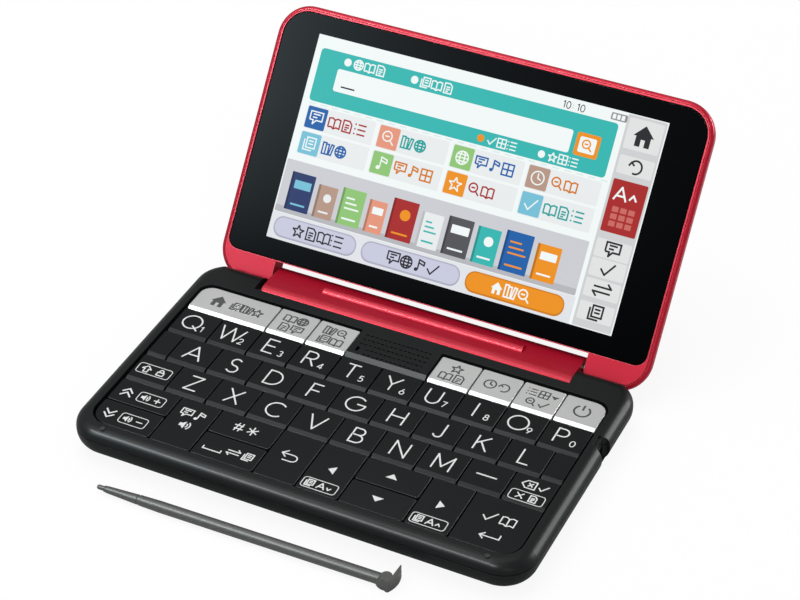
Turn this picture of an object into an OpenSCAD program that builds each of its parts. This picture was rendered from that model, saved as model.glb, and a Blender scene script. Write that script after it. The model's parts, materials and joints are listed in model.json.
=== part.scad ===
// Clamshell electronic dictionary: keyboard half, screen half, two-axis hinge link, pen.
// Millimetres, +Z up. The origin lies on the table, in the middle of the open object's footprint.
// X runs along the key rows, Y runs from the front edge to the hinge.

/* [Keyboard] */
// Width of one key column
key_pitch = 14.14; // [13.6:0.01:15.4]
// Number of key columns
columns = 10; // [10]
// Depth of the silver top row
top_row_d = 13; // [12:0.1:15]
// Depth of a letter row
letter_row_d = 12.92; // [12:0.01:14.5]
// Depth of one of the two low rows
low_row_d = 10.83; // [9.8:0.01:12.5]
// Gap between neighbouring keys
key_gap = 0.5; // [0.3:0.05:0.8]
// Thickness of a key cap
cap_t = 1.5; // [1.2:0.05:1.8]
// Width of the sloped front edge of a letter key
slope_w = 1.3; // [0.8:0.05:1.8]
// Drop of the sloped front edge
slope_drop = 0.65; // [0.3:0.05:0.8]
// Width of the fine bevel on the other key edges
bevel = 0.2; // [0.1:0.05:0.3]
// Travel of a key
key_travel = 0.6; // [0.4:0.05:0.8]
// Space left under a pressed key cap
key_spare = 0.1; // [0.05:0.05:0.3]
// Width of a key stem
stem_w = 4; // [3:0.1:5]
// Depth of a key stem
stem_d = 3; // [2:0.1:3.6]
// Gap round a key stem in its guide hole
stem_gap = 0.2; // [0.1:0.05:0.3]
// Length of a key stem under its cap
stem_l = 2; // [1.8:0.05:2.2]
// Distance from a letter key's front edge to its stem's middle
stem_in = 3.4; // [3:0.1:4]

/* [Keyboard half] */
// Thickness from the underside to the bezel
base_t = 10.8; // [10.6:0.1:12.5]
// Depth of the keys' tops below the bezel
key_drop = 0.6; // [0.3:0.05:1]
// Bezel at the left and right of the keys
side_bezel = 4.9; // [4.5:0.1:7]
// Bezel in front of the keys
front_bezel = 5.5; // [5:0.1:8]
// Bezel between the keys and the hinge link
rear_bezel = 3.7; // [3:0.1:6]
// Gap round the block of keys
well_gap = 0.5; // [0.3:0.05:0.8]
// Corner radius of the two halves in plan
corner_r = 11; // [10.4:0.1:11.3]
// Corner radius of the key block at its front corners
low_corner_r = 6; // [4:0.1:7]
// Corner radius of the key block at its rear corners
top_corner_r = 4.4; // [3:0.1:6]
// Rounding of the bezel's outer edge
top_edge_r = 4; // [3.4:0.1:4.4]
// Rounding of the underside's edge
bottom_edge_r = 6; // [5:0.1:6.2]
// Rounding of the top edge beside the hinge
rear_edge_r = 6; // [4:0.1:6]
// Height of the top cover's rim, down to the parting line
rim_h = 3.5; // [2:0.1:3.6]
// Gap between the covers at the parting line
part_gap = 0.3; // [0.1:0.05:0.4]
// Wall of the covers
wall = 1.2; // [1:0.05:1.4]
// Thickness of the plate that guides the key stems
deck_t = 0.7; // [0.6:0.05:0.9]
// Height of the rubber feet below the underside
foot_h = 0.7; // [0.5:0.05:1]

/* [Speaker grille] */
// Spacing of the slots along a row
slot_pitch = 1.56; // [1.4:0.01:1.7]
// Spacing of the slot rows
slot_row = 2.27; // [1.8:0.01:2.3]
// Length of a slot
slot_w = 1.05; // [0.8:0.05:1.2]
// Height of a slot
slot_h = 0.55; // [0.4:0.05:0.8]
// Slots in a long row
long_row = 15; // [11:2:15]
// Slots that the two front rows lack
short_by = 2; // [0:1:4]
// Height of the slot for the microphone
mic_h = 2.2; // [1:0.1:2.6]

/* [Hinge] */
// Depth of the keyboard half's hinge axis below the bezel
base_axis_drop = 5.65; // [5.4:0.05:5.9]
// Room from that axis to the front wall of the keyboard half's gap
base_room = 5.3; // [5.1:0.05:6]
// Distance from that axis to the rear end of the keyboard half
base_tail = 4.8; // [4.6:0.05:5]
// Radius of the link round the keyboard half's axis
link_base_r = 4.05; // [3.6:0.05:4.2]
// Radius of the link round the screen half's axis
link_lid_r = 3.4; // [3:0.05:3.5]
// Length of the link
link_l = 108.6; // [100:0.2:112]
// Gap at each end of the link
link_end_gap = 0.9; // [0.5:0.05:1.2]
// Height of the bar along the link's inner face
bar_h = 1.1; // [0.6:0.05:1.1]
// Radius of that bar
bar_r = 2.2; // [1.8:0.05:2.4]
// Length of that bar
bar_l = 70.4; // [40:0.2:90]
// Angle of the link above the table
link_tilt = 1.2; // [-5:0.1:10]
// Angle of the screen half from closed
lid_open = 127.1; // [100:0.1:150]
// Gap between the halves when closed
close_gap = 0.4; // [0.3:0.05:0.6]
// Radius of the shaft in the keyboard half
base_shaft_r = 1.5; // [1.2:0.05:1.8]
// Radius of the shaft in the screen half
lid_shaft_r = 1.2; // [1:0.05:1.4]
// Running clearance of a shaft in the link
run_gap = 0.05; // [0.02:0.01:0.09]
// Depth of a shaft in the link
shaft_in = 4.5; // [3:0.1:6]

/* [Screen half] */
// Thickness of the screen half
lid_t = 6.8; // [6.6:0.1:7.4]
// How far the screen half stands in from the keyboard half at each side
lid_in = 0.35; // [0:0.05:0.6]
// How much shorter the screen half is than the keyboard half
lid_short = 0.8; // [0:0.1:1.2]
// Distance from the lid axis to the end of the screen half
lid_tail = 4; // [3.8:0.05:4.2]
// Room from the lid axis to the edge of the gap for the link
lid_room = 5.1; // [4.9:0.05:5.3]
// Rounding of the front edge of the screen half
lid_front_r = 1.2; // [0.8:0.1:1.5]
// Rounding of the rear edge of the screen half
lid_rear_r = 4.5; // [3:0.1:5]
// Rounding of the front edge beside the hinge
ear_front_r = 2.8; // [2.6:0.1:3]
// Rounding of the rear edge beside the hinge
ear_rear_r = 3.8; // [3.4:0.1:3.8]
// Inset of the front frame from the outline
frame_in = 1.4; // [1.3:0.1:1.6]
// Thickness of the front frame
frame_t = 1.8; // [1.7:0.05:2]
// Seam between the front frame and the rear cover
seam = 0.2; // [0.05:0.01:0.25]
// Margin from the outline to the glass at the sides and top
glass_margin = 2; // [1.9:0.1:4]
// Margin from the hinge end to the glass
glass_foot = 9.5; // [9.4:0.1:12]
// Thickness of the glass
glass_t = 0.95; // [0.7:0.05:1.1]
// Depth of the glass below the front frame
glass_drop = 0.15; // [0.05:0.05:0.25]
// Gap round the glass
glass_gap = 0.1; // [0.05:0.05:0.2]
// Corner radius of the glass at its upper corners
glass_top_r = 8.6; // [8.2:0.1:9]
// Corner radius of the glass at its lower corners
glass_low_r = 3.8; // [2:0.1:5]
// Width of the picture
screen_w = 121.8; // [110:0.1:124]
// Height of the picture
screen_h = 68.5; // [60:0.1:70]
// Height of the picture's middle above the middle of the glass
screen_up = 0.2; // [-1:0.1:1]
// Thickness of the display module
module_t = 1.7; // [1.5:0.05:2]

/* [Pen] */
// Length of the pen
pen_l = 98.4; // [80:0.1:105]
// Radius of the pen's barrel
pen_r = 1.8; // [1.6:0.05:1.85]
// Radius of the pen's bore in the keyboard half
bore_r = 1.95; // [1.9:0.01:2]
// Length of the pen's head
head_l = 5.4; // [5:0.1:5.6]
// Thickness of the pen's head
head_t = 4.4; // [3.8:0.1:4.6]
// Reach of the head below the pen's axis
head_below = 2.2; // [2:0.1:2.6]
// Height of the nail fin above the pen's axis
fin_h = 5.6; // [4:0.1:5.8]
// Width of the nail fin at its root
fin_w = 1.1; // [0.9:0.1:1.3]
// Radius of the head's outer side
side_r = 8.5; // [7:0.1:12]
// Length of the cone at the tip
cone_l = 14.6; // [8:0.1:16]
// Length over which the barrel then reaches its full width
taper_l = 7; // [4:0.1:12]
// Radius of the tip
tip_r = 0.75; // [0.5:0.05:0.85]
// Distance from the bore's axis to the rear edge of the letter rows
bore_in = 3.9; // [3.6:0.1:4.2]
// Distance from the front edge to the pen where it lies
pen_away = 10; // [6:0.1:30]
// Place of the middle of the pen along the keyboard half
pen_x = -8.6; // [-40:0.1:20]
// Turn of the pen where it lies
pen_turn = 0.54; // [0:0.01:1.2]

/* [Hidden] */
$fn = 48;
// A cut passes this far beyond what it cuts
past = 1;

// Plan of the keyboard half
keys_w = columns * key_pitch;
keys_d = 2 * low_row_d + 3 * letter_row_d + top_row_d;
base_w = keys_w + 2 * (well_gap + side_bezel);
base_d = front_bezel + keys_d + 2 * well_gap + rear_bezel + base_room + base_tail;

// Hinge axes and the pose of the screen half, measured from the front edge of the keyboard half
lid_axis_drop = lid_t / 2;
rise = base_axis_drop + close_gap + lid_axis_drop;
axis_gap = sqrt(rise * rise + pow(base_tail - lid_tail, 2));
lid_lean = 180 - lid_open;
lid_d = base_d - lid_short;

// Footprint of the open object, from the pen in front to the edge of the screen half behind
lip_in = 2.3;
pen_reach = pen_r * cos(pen_turn) + (pen_l / 2 - cone_l - taper_l) * sin(pen_turn);
head_reach = head_below * cos(pen_turn) - (pen_l / 2 - lip_in) * sin(pen_turn);
front_reach = pen_away + max(pen_reach, head_reach);
rear_reach = base_d - base_tail + axis_gap * cos(link_tilt) + lid_rear_r
    + (lid_d - lid_tail - lid_rear_r) * cos(lid_lean) - (lid_rear_r - lid_axis_drop) * sin(lid_lean);
front_y = (front_reach - rear_reach) / 2;
mid_y = front_y + base_d / 2;
keys_y = front_y + front_bezel + well_gap;
gap_y = keys_y + keys_d + well_gap + rear_bezel;
gap_w = link_l + 2 * link_end_gap;

// Heights in the keyboard half
bezel_z = foot_h + base_t;
part_z = bezel_z - rim_h;
floor_z = foot_h + wall;
key_z = bezel_z - key_drop;
cap_z = key_z - cap_t;
deck_z = cap_z - key_travel - key_spare;
under_deck_z = deck_z - deck_t;

// Row edges from the front: page keys, low keys, three letter rows, silver row
row_y = [for (n = [0 : 6])
    keys_y + min(n, 2) * low_row_d + max(0, min(n - 2, 3)) * letter_row_d + max(0, n - 5) * top_row_d];

// The pen's bore
bore_y = row_y[5] - bore_in;
bore_wall = 0.5;
cover_gap = 0.1;
bore_z = under_deck_z - cover_gap - bore_wall - bore_r;
head_gap = 0.3;
notch_half = head_t / 2 + 1.1;
notch_depth = 2.3;
notch_corner = 1.6;
scoop_half = head_t / 2 + head_gap;
scoop_depth = 3.6;
scoop_corner = 1;
scoop_z = bezel_z - 0.6;
pocket_x = base_w / 2 - head_l - head_gap;
bore_end = base_w / 2 - pen_l - 1;

// The pen's head: the hollow inside its lip, the disc that ends the barrel, and the height at which
// its side stands out most
lip_recess = 0.3;
disc_in = 2.67;
disc_r = 1.75;
side_up = 2.5;
fin_top = 0.85;
fin_foot = 1.5;

// Hinge axes in the side view, as [y, z]
base_axis = [front_y + base_d - base_tail, bezel_z - base_axis_drop];
lid_axis = base_axis + axis_gap * [cos(link_tilt), sin(link_tilt)];

// Friction hinges: block on the ear's wall, and friction barrel that ends short of the side
block_l = 3;
base_block = 4.4;
base_barrel_r = 2;
lid_block = 3.2;
lid_barrel_r = 1.55;
barrel_end = 9.7;

// Plan of the screen half, measured from the lid axis
lid_w = base_w - 2 * lid_in;
lid_gap_w = gap_w + 0.2;
frame_z = lid_axis_drop - frame_t;
glass_z = lid_axis_drop - glass_drop - glass_t;
glass_w = lid_w - 2 * glass_margin;
glass_y = glass_foot - lid_tail;
glass_h = lid_d - glass_foot - glass_margin;
screen_y = glass_y + glass_h / 2 + screen_up;
module_w = screen_w + 5;
module_h = screen_h + 6;
window_gap = 0.3;

// Parts inside the keyboard half
board_t = 0.8;
board_z = cap_z - stem_l - key_travel - 0.3 - board_t;
board_front = keys_y + 1.5;
board_rear = bore_y - bore_r - bore_wall - 1.6;
board_w = keys_w - 18;
battery_t = board_z - floor_z - 0.4;
battery_w = 92;
battery_d = 38;
post_x = keys_w / 2 - 1.9;
post_r = 2;
screw_r = 0.8;
screw_head_r = 1.6;
screw_head_t = 0.8;
post_y = [keys_y + 3.2, board_rear - 2.6, keys_y + keys_d - 1.6];
// The covers' posts meet just above the pen's bore
post_z = bore_z + bore_r + 0.1;
speaker_w = 2 * key_pitch;
speaker_d = 9.5;
speaker_t = 2.6;
chip = 8;
chip_t = 0.2;
foot_r = 2.6;
foot_in = 0.4;
foot_x = base_w / 2 - 12.2;
foot_y = [front_y + 9.6, base_axis[0] - 4.2];
stop_x = keys_w / 2 - 7.2;
stop_y = front_y + 3.2;
stop_r = 0.8;
stop_h = close_gap - 0.05;

// Colours as they show
charcoal = [0.17, 0.19, 0.20];
key_black = [0.11, 0.12, 0.13];
key_silver = [0.75, 0.75, 0.75];
red = [0.72, 0.09, 0.16];
dark_red = [0.58, 0.07, 0.13];
rubber = [0.08, 0.08, 0.08];
steel = [0.62, 0.63, 0.65];
board_green = [0.05, 0.32, 0.18];
battery_grey = [0.45, 0.46, 0.48];
glass_black = [0.03, 0.03, 0.04];
picture_white = [0.9, 0.93, 0.94];
pen_grey = [0.5, 0.51, 0.5];

// Keys: name, first column, last column, front row edge, rear row edge
LETTERS = [["q", "w", "e", "r", "t", "y", "u", "i", "o", "p"],
    ["a", "s", "d", "f", "g", "h", "j", "k", "l"],
    ["z", "x", "c", "v", "b", "n", "m"]];
LETTER_START = [0, 0.5, 1];
SILVER = [["key_home", 0, 2, 5, 6], ["key_book_a", 2, 3, 5, 6], ["key_book_b", 3, 4, 5, 6],
    ["key_book_c", 6, 7, 5, 6], ["key_recent", 7, 8, 5, 6], ["key_list", 8, 9, 5, 6],
    ["key_power", 9, 10, 5, 6]];
SIDE = [["key_shift", 0, 1, 2, 3], ["key_dash", 8, 9, 2, 3], ["key_delete", 9, 10, 2, 3]];
LOW = [["key_page_up", 0, 1.5, 1, 2], ["key_page_down", 0, 1.5, 0, 1], ["key_voice", 1.5, 2.5, 0, 2],
    ["key_symbol", 2.5, 4, 1, 2], ["key_space", 2.5, 4, 0, 1], ["key_back", 4, 5, 0, 2],
    ["key_left", 5, 6, 0, 2], ["key_up", 6, 7.5, 1, 2], ["key_down", 6, 7.5, 0, 1],
    ["key_right", 7.5, 8.5, 0, 2], ["key_enter", 8.5, 10, 0, 2]];
LETTER_KEYS = [for (r = [0 : 2]) for (i = [0 : len(LETTERS[r]) - 1])
    [str("key_", LETTERS[r][i]), LETTER_START[r] + i, LETTER_START[r] + i + 1, 4 - r, 5 - r]];
KEYS = concat(SILVER, LETTER_KEYS, SIDE, LOW);
// First and last column of the speaker's block, and the two fixed blank half keys
GRILLE = [4, 6];
BLANKS = [["blank_left", 0, 0.5, 3, 4], ["blank_right", 9.5, 10, 3, 4]];

// Square bit outside a quarter circle, which rounds the corner at the upper right
module corner_bit(r) {
    difference() {
        square([r + past, r + past]);
        circle(r);
    }
}

// Rectangle from p to q, its low corners rounded by low_r and its high ones by high_r
module rounded_rect(p, q, low_r, high_r) {
    difference() {
        translate(p) square(q - p);
        if (high_r > 0) {
            translate([q[0] - high_r, q[1] - high_r]) corner_bit(high_r);
            translate([p[0] + high_r, q[1] - high_r]) mirror([1, 0]) corner_bit(high_r);
        }
        if (low_r > 0) {
            translate([q[0] - low_r, p[1] + low_r]) mirror([0, 1]) corner_bit(low_r);
            translate([p[0] + low_r, p[1] + low_r]) rotate(180) corner_bit(low_r);
        }
    }
}

// Slab with round corners in plan and rounded long edges, centred in plan, standing on z = 0
module rounded_slab(w, d, t, plan_r, low_r, high_r) {
    for (x = [-1, 1]) for (y = [-1, 1])
        translate([x * (w / 2 - plan_r), y * (d / 2 - plan_r), 0]) rotate_extrude()
            intersection() {
                rounded_rect([-plan_r, 0], [plan_r, t], low_r, high_r);
                square([plan_r, t]);
            }
    rotate([90, 0, 90]) linear_extrude(w - 2 * plan_r, center = true)
        rounded_rect([-d / 2, 0], [d / 2, t], low_r, high_r);
    rotate([90, 0, 0]) linear_extrude(d - 2 * plan_r, center = true)
        rounded_rect([-w / 2, 0], [w / 2, t], low_r, high_r);
}

// Outer form of the keyboard half, or the same form drawn in by some distance
module base_form(in = 0) {
    translate([0, mid_y, foot_h + in]) intersection() {
        rounded_slab(base_w - 2 * in, base_d - 2 * in, base_t - 2 * in, corner_r - in,
            bottom_edge_r - in, top_edge_r - in);
        rotate([90, 0, 90]) linear_extrude(base_w, center = true)
            rounded_rect([-base_d, 0], [base_d / 2 - in, base_t - 2 * in],
                base_t - rear_edge_r - in, rear_edge_r - in);
    }
}

// Gap at the rear of the keyboard half in which the link turns
module base_gap(in = 0) {
    translate([-gap_w / 2 - in, gap_y - in, 0]) cube([gap_w + 2 * in, base_d, 2 * bezel_z]);
}

// The pen's bore, the pocket and notch for its head, and the scoop for a finger nail
module pen_space() {
    translate([bore_end, bore_y, bore_z]) rotate([0, 90, 0]) cylinder(h = base_w, r = bore_r);
    translate([pocket_x, bore_y - scoop_half, bore_z - head_below - head_gap])
        cube([base_w, 2 * scoop_half, head_below + pen_r + 2 * head_gap]);
    side_cut(notch_depth, notch_half, notch_corner, bore_z - head_below - head_gap);
    side_cut(scoop_depth, scoop_half, scoop_corner, scoop_z);
}

// Cut into the right side of the case at the pen's bore, from z upwards
module side_cut(depth, half, corner, z) {
    translate([0, bore_y, z]) linear_extrude(bezel_z)
        rounded_rect([base_w / 2 - depth, -half], [base_w, half], corner, corner);
}

// Walls that close the covers round the pen's bore, pocket and notch
module pen_walls() {
    translate([bore_end - wall, bore_y, bore_z]) rotate([0, 90, 0])
        cylinder(h = pocket_x - bore_end + wall, r = bore_r + bore_wall);
    translate([bore_end - wall, bore_y - bore_r / 2, floor_z])
        cube([pocket_x - bore_end + wall, bore_r, bore_z - floor_z - bore_r]);
    translate([pocket_x - wall, bore_y - notch_half - wall, foot_h])
        cube([base_w, 2 * (notch_half + wall), base_t]);
}

// Outline of the key well, or drawn in by some distance
module well_outline(in = 0) {
    rounded_rect([-keys_w / 2 - well_gap + in, keys_y - well_gap + in],
        [keys_w / 2 + well_gap - in, keys_y + keys_d + well_gap - in],
        low_corner_r + well_gap - in, top_corner_r + well_gap - in);
}

// Side view of a key cap from the front edge y0 to the rear edge y1, sloped in front by slope
module cap_profile(y0, y1, slope, drop) {
    polygon([[y0, cap_z], [y0, key_z - drop], [y0 + slope, key_z], [y1 - bevel, key_z],
        [y1, key_z - bevel], [y1, cap_z]]);
}

// Cap of a key or block k, standing on its underside
module cap(k) {
    x0 = -keys_w / 2 + k[1] * key_pitch + key_gap / 2;
    x1 = -keys_w / 2 + k[2] * key_pitch - key_gap / 2;
    y0 = row_y[k[3]] + key_gap / 2;
    y1 = row_y[k[4]] - key_gap / 2;
    letter = k[3] > 1;
    intersection() {
        translate([x0, 0, 0]) rotate([90, 0, 90]) linear_extrude(x1 - x0)
            cap_profile(y0, y1, letter ? slope_w : bevel, letter ? slope_drop : bevel);
        linear_extrude(bezel_z) well_outline(well_gap + key_gap / 2);
    }
}

// Middle of a key's stem in plan
function stem_at(k) = [(k[1] + k[2]) / 2 * key_pitch - keys_w / 2,
    k[3] > 1 && k[3] < 5 ? row_y[k[3]] + stem_in : (row_y[k[3]] + row_y[k[4]]) / 2];

// One key: a cap on a stem, which slides in the deck's guide hole
module key(k) {
    color(k[3] == 5 ? key_silver : key_black) union() {
        cap(k);
        translate([stem_at(k)[0] - stem_w / 2, stem_at(k)[1] - stem_d / 2, cap_z - stem_l])
            cube([stem_w, stem_d, stem_l]);
    }
}

// Place of slot i in slot row n, counted from the rear
function slot_at(i, n) = [(i - (long_row - 1) / 2) * slot_pitch - 0.33,
    row_y[6] - 1.46 - n * slot_row];

module slot(at, w, h) {
    translate([at[0] - w / 2, at[1] - h / 2, under_deck_z - past]) cube([w, h, bezel_z]);
}

module speaker_slots() {
    for (n = [0 : 4]) for (i = [(n > 2 ? short_by : 0) : long_row - 1]) slot(slot_at(i, n), slot_w, slot_h);
    slot(slot_at(0, 3.2), slot_w, mic_h);
}

// Block that carries the speaker's slots, level with the bezel and sloped in front as the keys are
module grille_block() {
    y0 = row_y[5] + key_gap / 2;
    y1 = row_y[6] + well_gap + wall / 2;
    translate([-keys_w / 2 + GRILLE[0] * key_pitch + key_gap / 2, 0, 0]) rotate([90, 0, 90])
        linear_extrude((GRILLE[1] - GRILLE[0]) * key_pitch - key_gap)
            polygon([[y0, deck_z - deck_t / 2], [y0, key_z - slope_drop], [y0 + slope_w, bezel_z],
                [y1, bezel_z], [y1, deck_z - deck_t / 2]]);
}

// Posts that carry the case screws, from z0 to z1
module posts(z0, z1, r) {
    for (x = [-post_x, post_x]) for (y = post_y)
        translate([x, y, z0]) cylinder(h = z1 - z0, r = r);
}

module base_top_cover() {
    color(charcoal) difference() {
        union() {
            difference() {
                base_form();
                translate([-base_w, -base_d, -past]) cube([2 * base_w, 2 * base_d, part_z + part_gap + past]);
                difference() {
                    base_form(wall);
                    base_gap(wall);
                    pen_walls();
                }
                linear_extrude(2 * bezel_z) well_outline();
            }
            difference() {
                translate([0, 0, under_deck_z]) linear_extrude(bezel_z - under_deck_z - wall / 2)
                    well_outline(-wall);
                translate([0, 0, deck_z]) linear_extrude(bezel_z) well_outline();
                for (k = KEYS) translate([stem_at(k)[0] - stem_w / 2 - stem_gap,
                    stem_at(k)[1] - stem_d / 2 - stem_gap, under_deck_z - past])
                    cube([stem_w + 2 * stem_gap, stem_d + 2 * stem_gap, cap_t + past]);
            }
            grille_block();
            for (k = BLANKS) {
                cap(k);
                translate([0, 0, deck_z - deck_t / 2]) linear_extrude(cap_z - deck_z + deck_t) intersection() {
                    well_outline(well_gap + key_gap / 2);
                    translate([-keys_w / 2 + k[1] * key_pitch + key_gap / 2, row_y[k[3]] + key_gap / 2])
                        square([(k[2] - k[1]) * key_pitch - key_gap, row_y[k[4]] - row_y[k[3]] - key_gap]);
                }
            }
            posts(post_z, under_deck_z, post_r);
        }
        base_gap();
        pen_space();
        speaker_slots();
        posts(foot_h, deck_z - 0.25, screw_r);
        for (x = [-stop_x, stop_x]) translate([x, stop_y, bezel_z - foot_in]) cylinder(h = 1, r = stop_r);
    }
}

module base_bottom_cover() {
    color(charcoal) difference() {
        union() {
            intersection() {
                difference() {
                    base_form();
                    difference() {
                        base_form(wall);
                        base_gap(wall);
                        pen_walls();
                    }
                }
                translate([-base_w, -base_d, 0]) cube([2 * base_w, 2 * base_d, part_z]);
            }
            intersection() {
                pen_walls();
                base_form();
                translate([-base_w, -base_d, 0]) cube([2 * base_w, 2 * base_d, under_deck_z - cover_gap]);
            }
            intersection() {
                posts(foot_h, post_z, post_r);
                base_form();
            }
        }
        base_gap();
        pen_space();
        well_tub();
        posts(-past, part_z, screw_r + 0.2);
        posts(-past, foot_h + screw_head_t + 0.2, screw_head_r + 0.2);
        for (x = [-foot_x, foot_x]) for (y = foot_y)
            translate([x, y, -past]) cylinder(h = foot_h + foot_in + past, r = foot_r);
        translate([-gap_w / 2 - wall - past, base_axis[0], base_axis[1]]) rotate([0, 90, 0])
            cylinder(h = gap_w + 2 * (wall + past), r = base_shaft_r + 0.1);
    }
}

// Space that the tub of the top cover takes up inside the bottom cover
module well_tub() {
    translate([0, 0, under_deck_z]) linear_extrude(bezel_z) well_outline(-wall);
}

// Circuit board with its chips and sockets, and the speaker under the grille
module main_board() {
    color(board_green) difference() {
        translate([-board_w / 2, board_front, board_z]) cube([board_w, board_rear - board_front, board_t]);
        posts(0, bezel_z, post_r + 0.4);
    }
    color(rubber) for (x = [-board_w / 5, 0, board_w / 5])
        translate([x - chip / 2, (board_front + board_rear) / 2, board_z + board_t]) cube([chip, chip, chip_t]);
    color(steel) translate([-speaker_w / 2, bore_y + bore_r + bore_wall + 0.8, under_deck_z - speaker_t])
        cube([speaker_w, speaker_d, speaker_t]);
}

module battery_pack() {
    color(battery_grey) translate([-battery_w / 2, board_front + 1, floor_z])
        cube([battery_w, battery_d, battery_t]);
}

// Four feet under the case and two stops on the bezel that the closed lid meets
module rubber_feet() {
    color(rubber) {
        for (x = [-foot_x, foot_x]) for (y = foot_y)
            translate([x, y, 0]) cylinder(h = foot_h + foot_in, r = foot_r);
        for (x = [-stop_x, stop_x])
            translate([x, stop_y, bezel_z - foot_in]) cylinder(h = foot_in + stop_h, r = stop_r);
    }
}

// One friction hinge: a block on the ear's wall, its friction barrel and its shaft, pointing to -X
module hinge_unit(shaft_r, block, barrel_r, ear_x, end_x) {
    translate([ear_x, -block / 2, -block / 2]) cube([block_l, block, block]);
    translate([ear_x, 0, 0]) rotate([0, 90, 0]) cylinder(h = end_x - ear_x, r = barrel_r);
    translate([link_l / 2 - shaft_in, 0, 0]) rotate([0, 90, 0])
        cylinder(h = ear_x - link_l / 2 + shaft_in + 1, r = shaft_r);
}

module base_hinges_and_screws() {
    color(steel) {
        for (s = [0, 1]) mirror([s, 0, 0]) translate([0, base_axis[0], base_axis[1]])
            hinge_unit(base_shaft_r, base_block, base_barrel_r, gap_w / 2 + wall, base_w / 2 - barrel_end);
        posts(foot_h + 0.2, foot_h + 0.2 + screw_head_t, screw_head_r);
        posts(foot_h + 0.2 + screw_head_t, deck_z - 0.4, screw_r);
    }
}

// Link in its own frame: the base axis at the origin, the lid axis at +Y
module link_form() {
    slope = acos((link_base_r - link_lid_r) / axis_gap);
    n = [cos(slope), sin(slope)];
    rotate([90, 0, 90]) linear_extrude(link_l, center = true) {
        circle(link_base_r);
        translate([axis_gap, 0]) circle(link_lid_r);
        polygon([link_base_r * n, [axis_gap, 0] + link_lid_r * n,
            [axis_gap + link_lid_r * n[0], -link_lid_r * n[1]], [link_base_r * n[0], -link_base_r * n[1]]]);
    }
    bar_y = base_axis_drop + close_gap / 2;
    face = link_base_r - (link_base_r - link_lid_r) * bar_y / axis_gap;
    translate([0, bar_y, face + bar_h - bar_r]) rotate([0, 90, 0])
        cylinder(h = bar_l, r = bar_r, center = true);
}

module hinge_link() {
    color(dark_red) translate([0, base_axis[0], base_axis[1]]) rotate([link_tilt, 0, 0]) difference() {
        link_form();
        for (s = [0, 1]) mirror([s, 0, 0]) {
            translate([link_l / 2 - shaft_in - 0.3, 0, 0]) rotate([0, 90, 0])
                cylinder(h = shaft_in + past, r = base_shaft_r + run_gap);
            translate([link_l / 2 - shaft_in - 0.3, axis_gap, 0]) rotate([0, 90, 0])
                cylinder(h = shaft_in + past, r = lid_shaft_r + run_gap);
        }
    }
}

// Puts what is drawn in the screen half's own frame in its place: the lid axis at the origin,
// +Y towards the upper edge and +Z out of the screen
module on_lid() {
    translate([0, lid_axis[0], lid_axis[1]]) rotate([lid_lean, 0, 0]) children();
}

// Outer form of the screen half, or the same form drawn in by some distance
module lid_form(in = 0) {
    translate([0, lid_d / 2 - lid_tail, in - lid_axis_drop]) intersection() {
        rounded_slab(lid_w - 2 * in, lid_d - 2 * in, lid_t - 2 * in, corner_r - in,
            lid_rear_r - in, lid_front_r - in);
        rotate([90, 0, 90]) linear_extrude(lid_w, center = true)
            mirror([1, 0]) rounded_rect([-lid_d, 0], [lid_d / 2 - in, lid_t - 2 * in],
                ear_rear_r - in, ear_front_r - in);
    }
}

// Gap at the hinge end of the screen half
module lid_gap(in = 0) {
    w = lid_gap_w + 2 * in;
    translate([-w / 2, lid_room + in - lid_d, -lid_t]) cube([w, lid_d, 2 * lid_t]);
}

// Seat of the front frame in the rear cover: the frame's outline, open at the gap
module frame_seat(in) {
    translate([0, lid_d / 2 - lid_tail, frame_z]) linear_extrude(lid_t)
        rounded_rect([in - lid_w / 2, in - lid_d / 2], [lid_w / 2 - in, lid_d / 2 - in],
            corner_r - in, corner_r - in);
}

module glass_plate(in, z0, z1) {
    translate([0, 0, z0]) linear_extrude(z1 - z0)
        rounded_rect([in - glass_w / 2, glass_y + in], [glass_w / 2 - in, glass_y + glass_h - in],
            glass_low_r - in, glass_top_r - in);
}

module lid_rear_cover() {
    color(red) on_lid() difference() {
        lid_form();
        lid_gap();
        frame_seat(frame_in - seam);
        difference() {
            lid_form(wall);
            lid_gap(wall);
            translate([-lid_w, -lid_d, frame_z]) cube([2 * lid_w, 3 * lid_d, lid_t]);
        }
        rotate([0, 90, 0]) cylinder(h = gap_w + 2 * (wall + past), r = lid_shaft_r + 0.1, center = true);
    }
}

module lid_front_frame() {
    color(red) on_lid() difference() {
        intersection() {
            lid_form();
            frame_seat(frame_in);
        }
        lid_gap();
        glass_plate(-glass_gap, glass_z, lid_t);
        translate([-screen_w / 2 - window_gap - 0.4, screen_y - screen_h / 2 - window_gap - 0.4, 0])
            cube([screen_w + 2 * window_gap + 0.8, screen_h + 2 * window_gap + 0.8, lid_t]);
    }
}

module display_glass() {
    color(glass_black) on_lid() glass_plate(0, glass_z, glass_z + glass_t);
}

// Display module: a backlight plate held under the frame and the picture plate in its window
module lcd_panel() {
    color(picture_white) on_lid() {
        translate([-module_w / 2, screen_y - module_h / 2, frame_z - module_t])
            cube([module_w, module_h, module_t]);
        translate([-screen_w / 2 - 0.4, screen_y - screen_h / 2 - 0.4, frame_z])
            cube([screen_w + 0.8, screen_h + 0.8, glass_z - frame_z - 0.05]);
    }
}

module lid_hinges() {
    color(steel) on_lid() for (s = [0, 1]) mirror([s, 0, 0])
        hinge_unit(lid_shaft_r, lid_block, lid_barrel_r, lid_gap_w / 2 + wall, lid_w / 2 - barrel_end);
}

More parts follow.
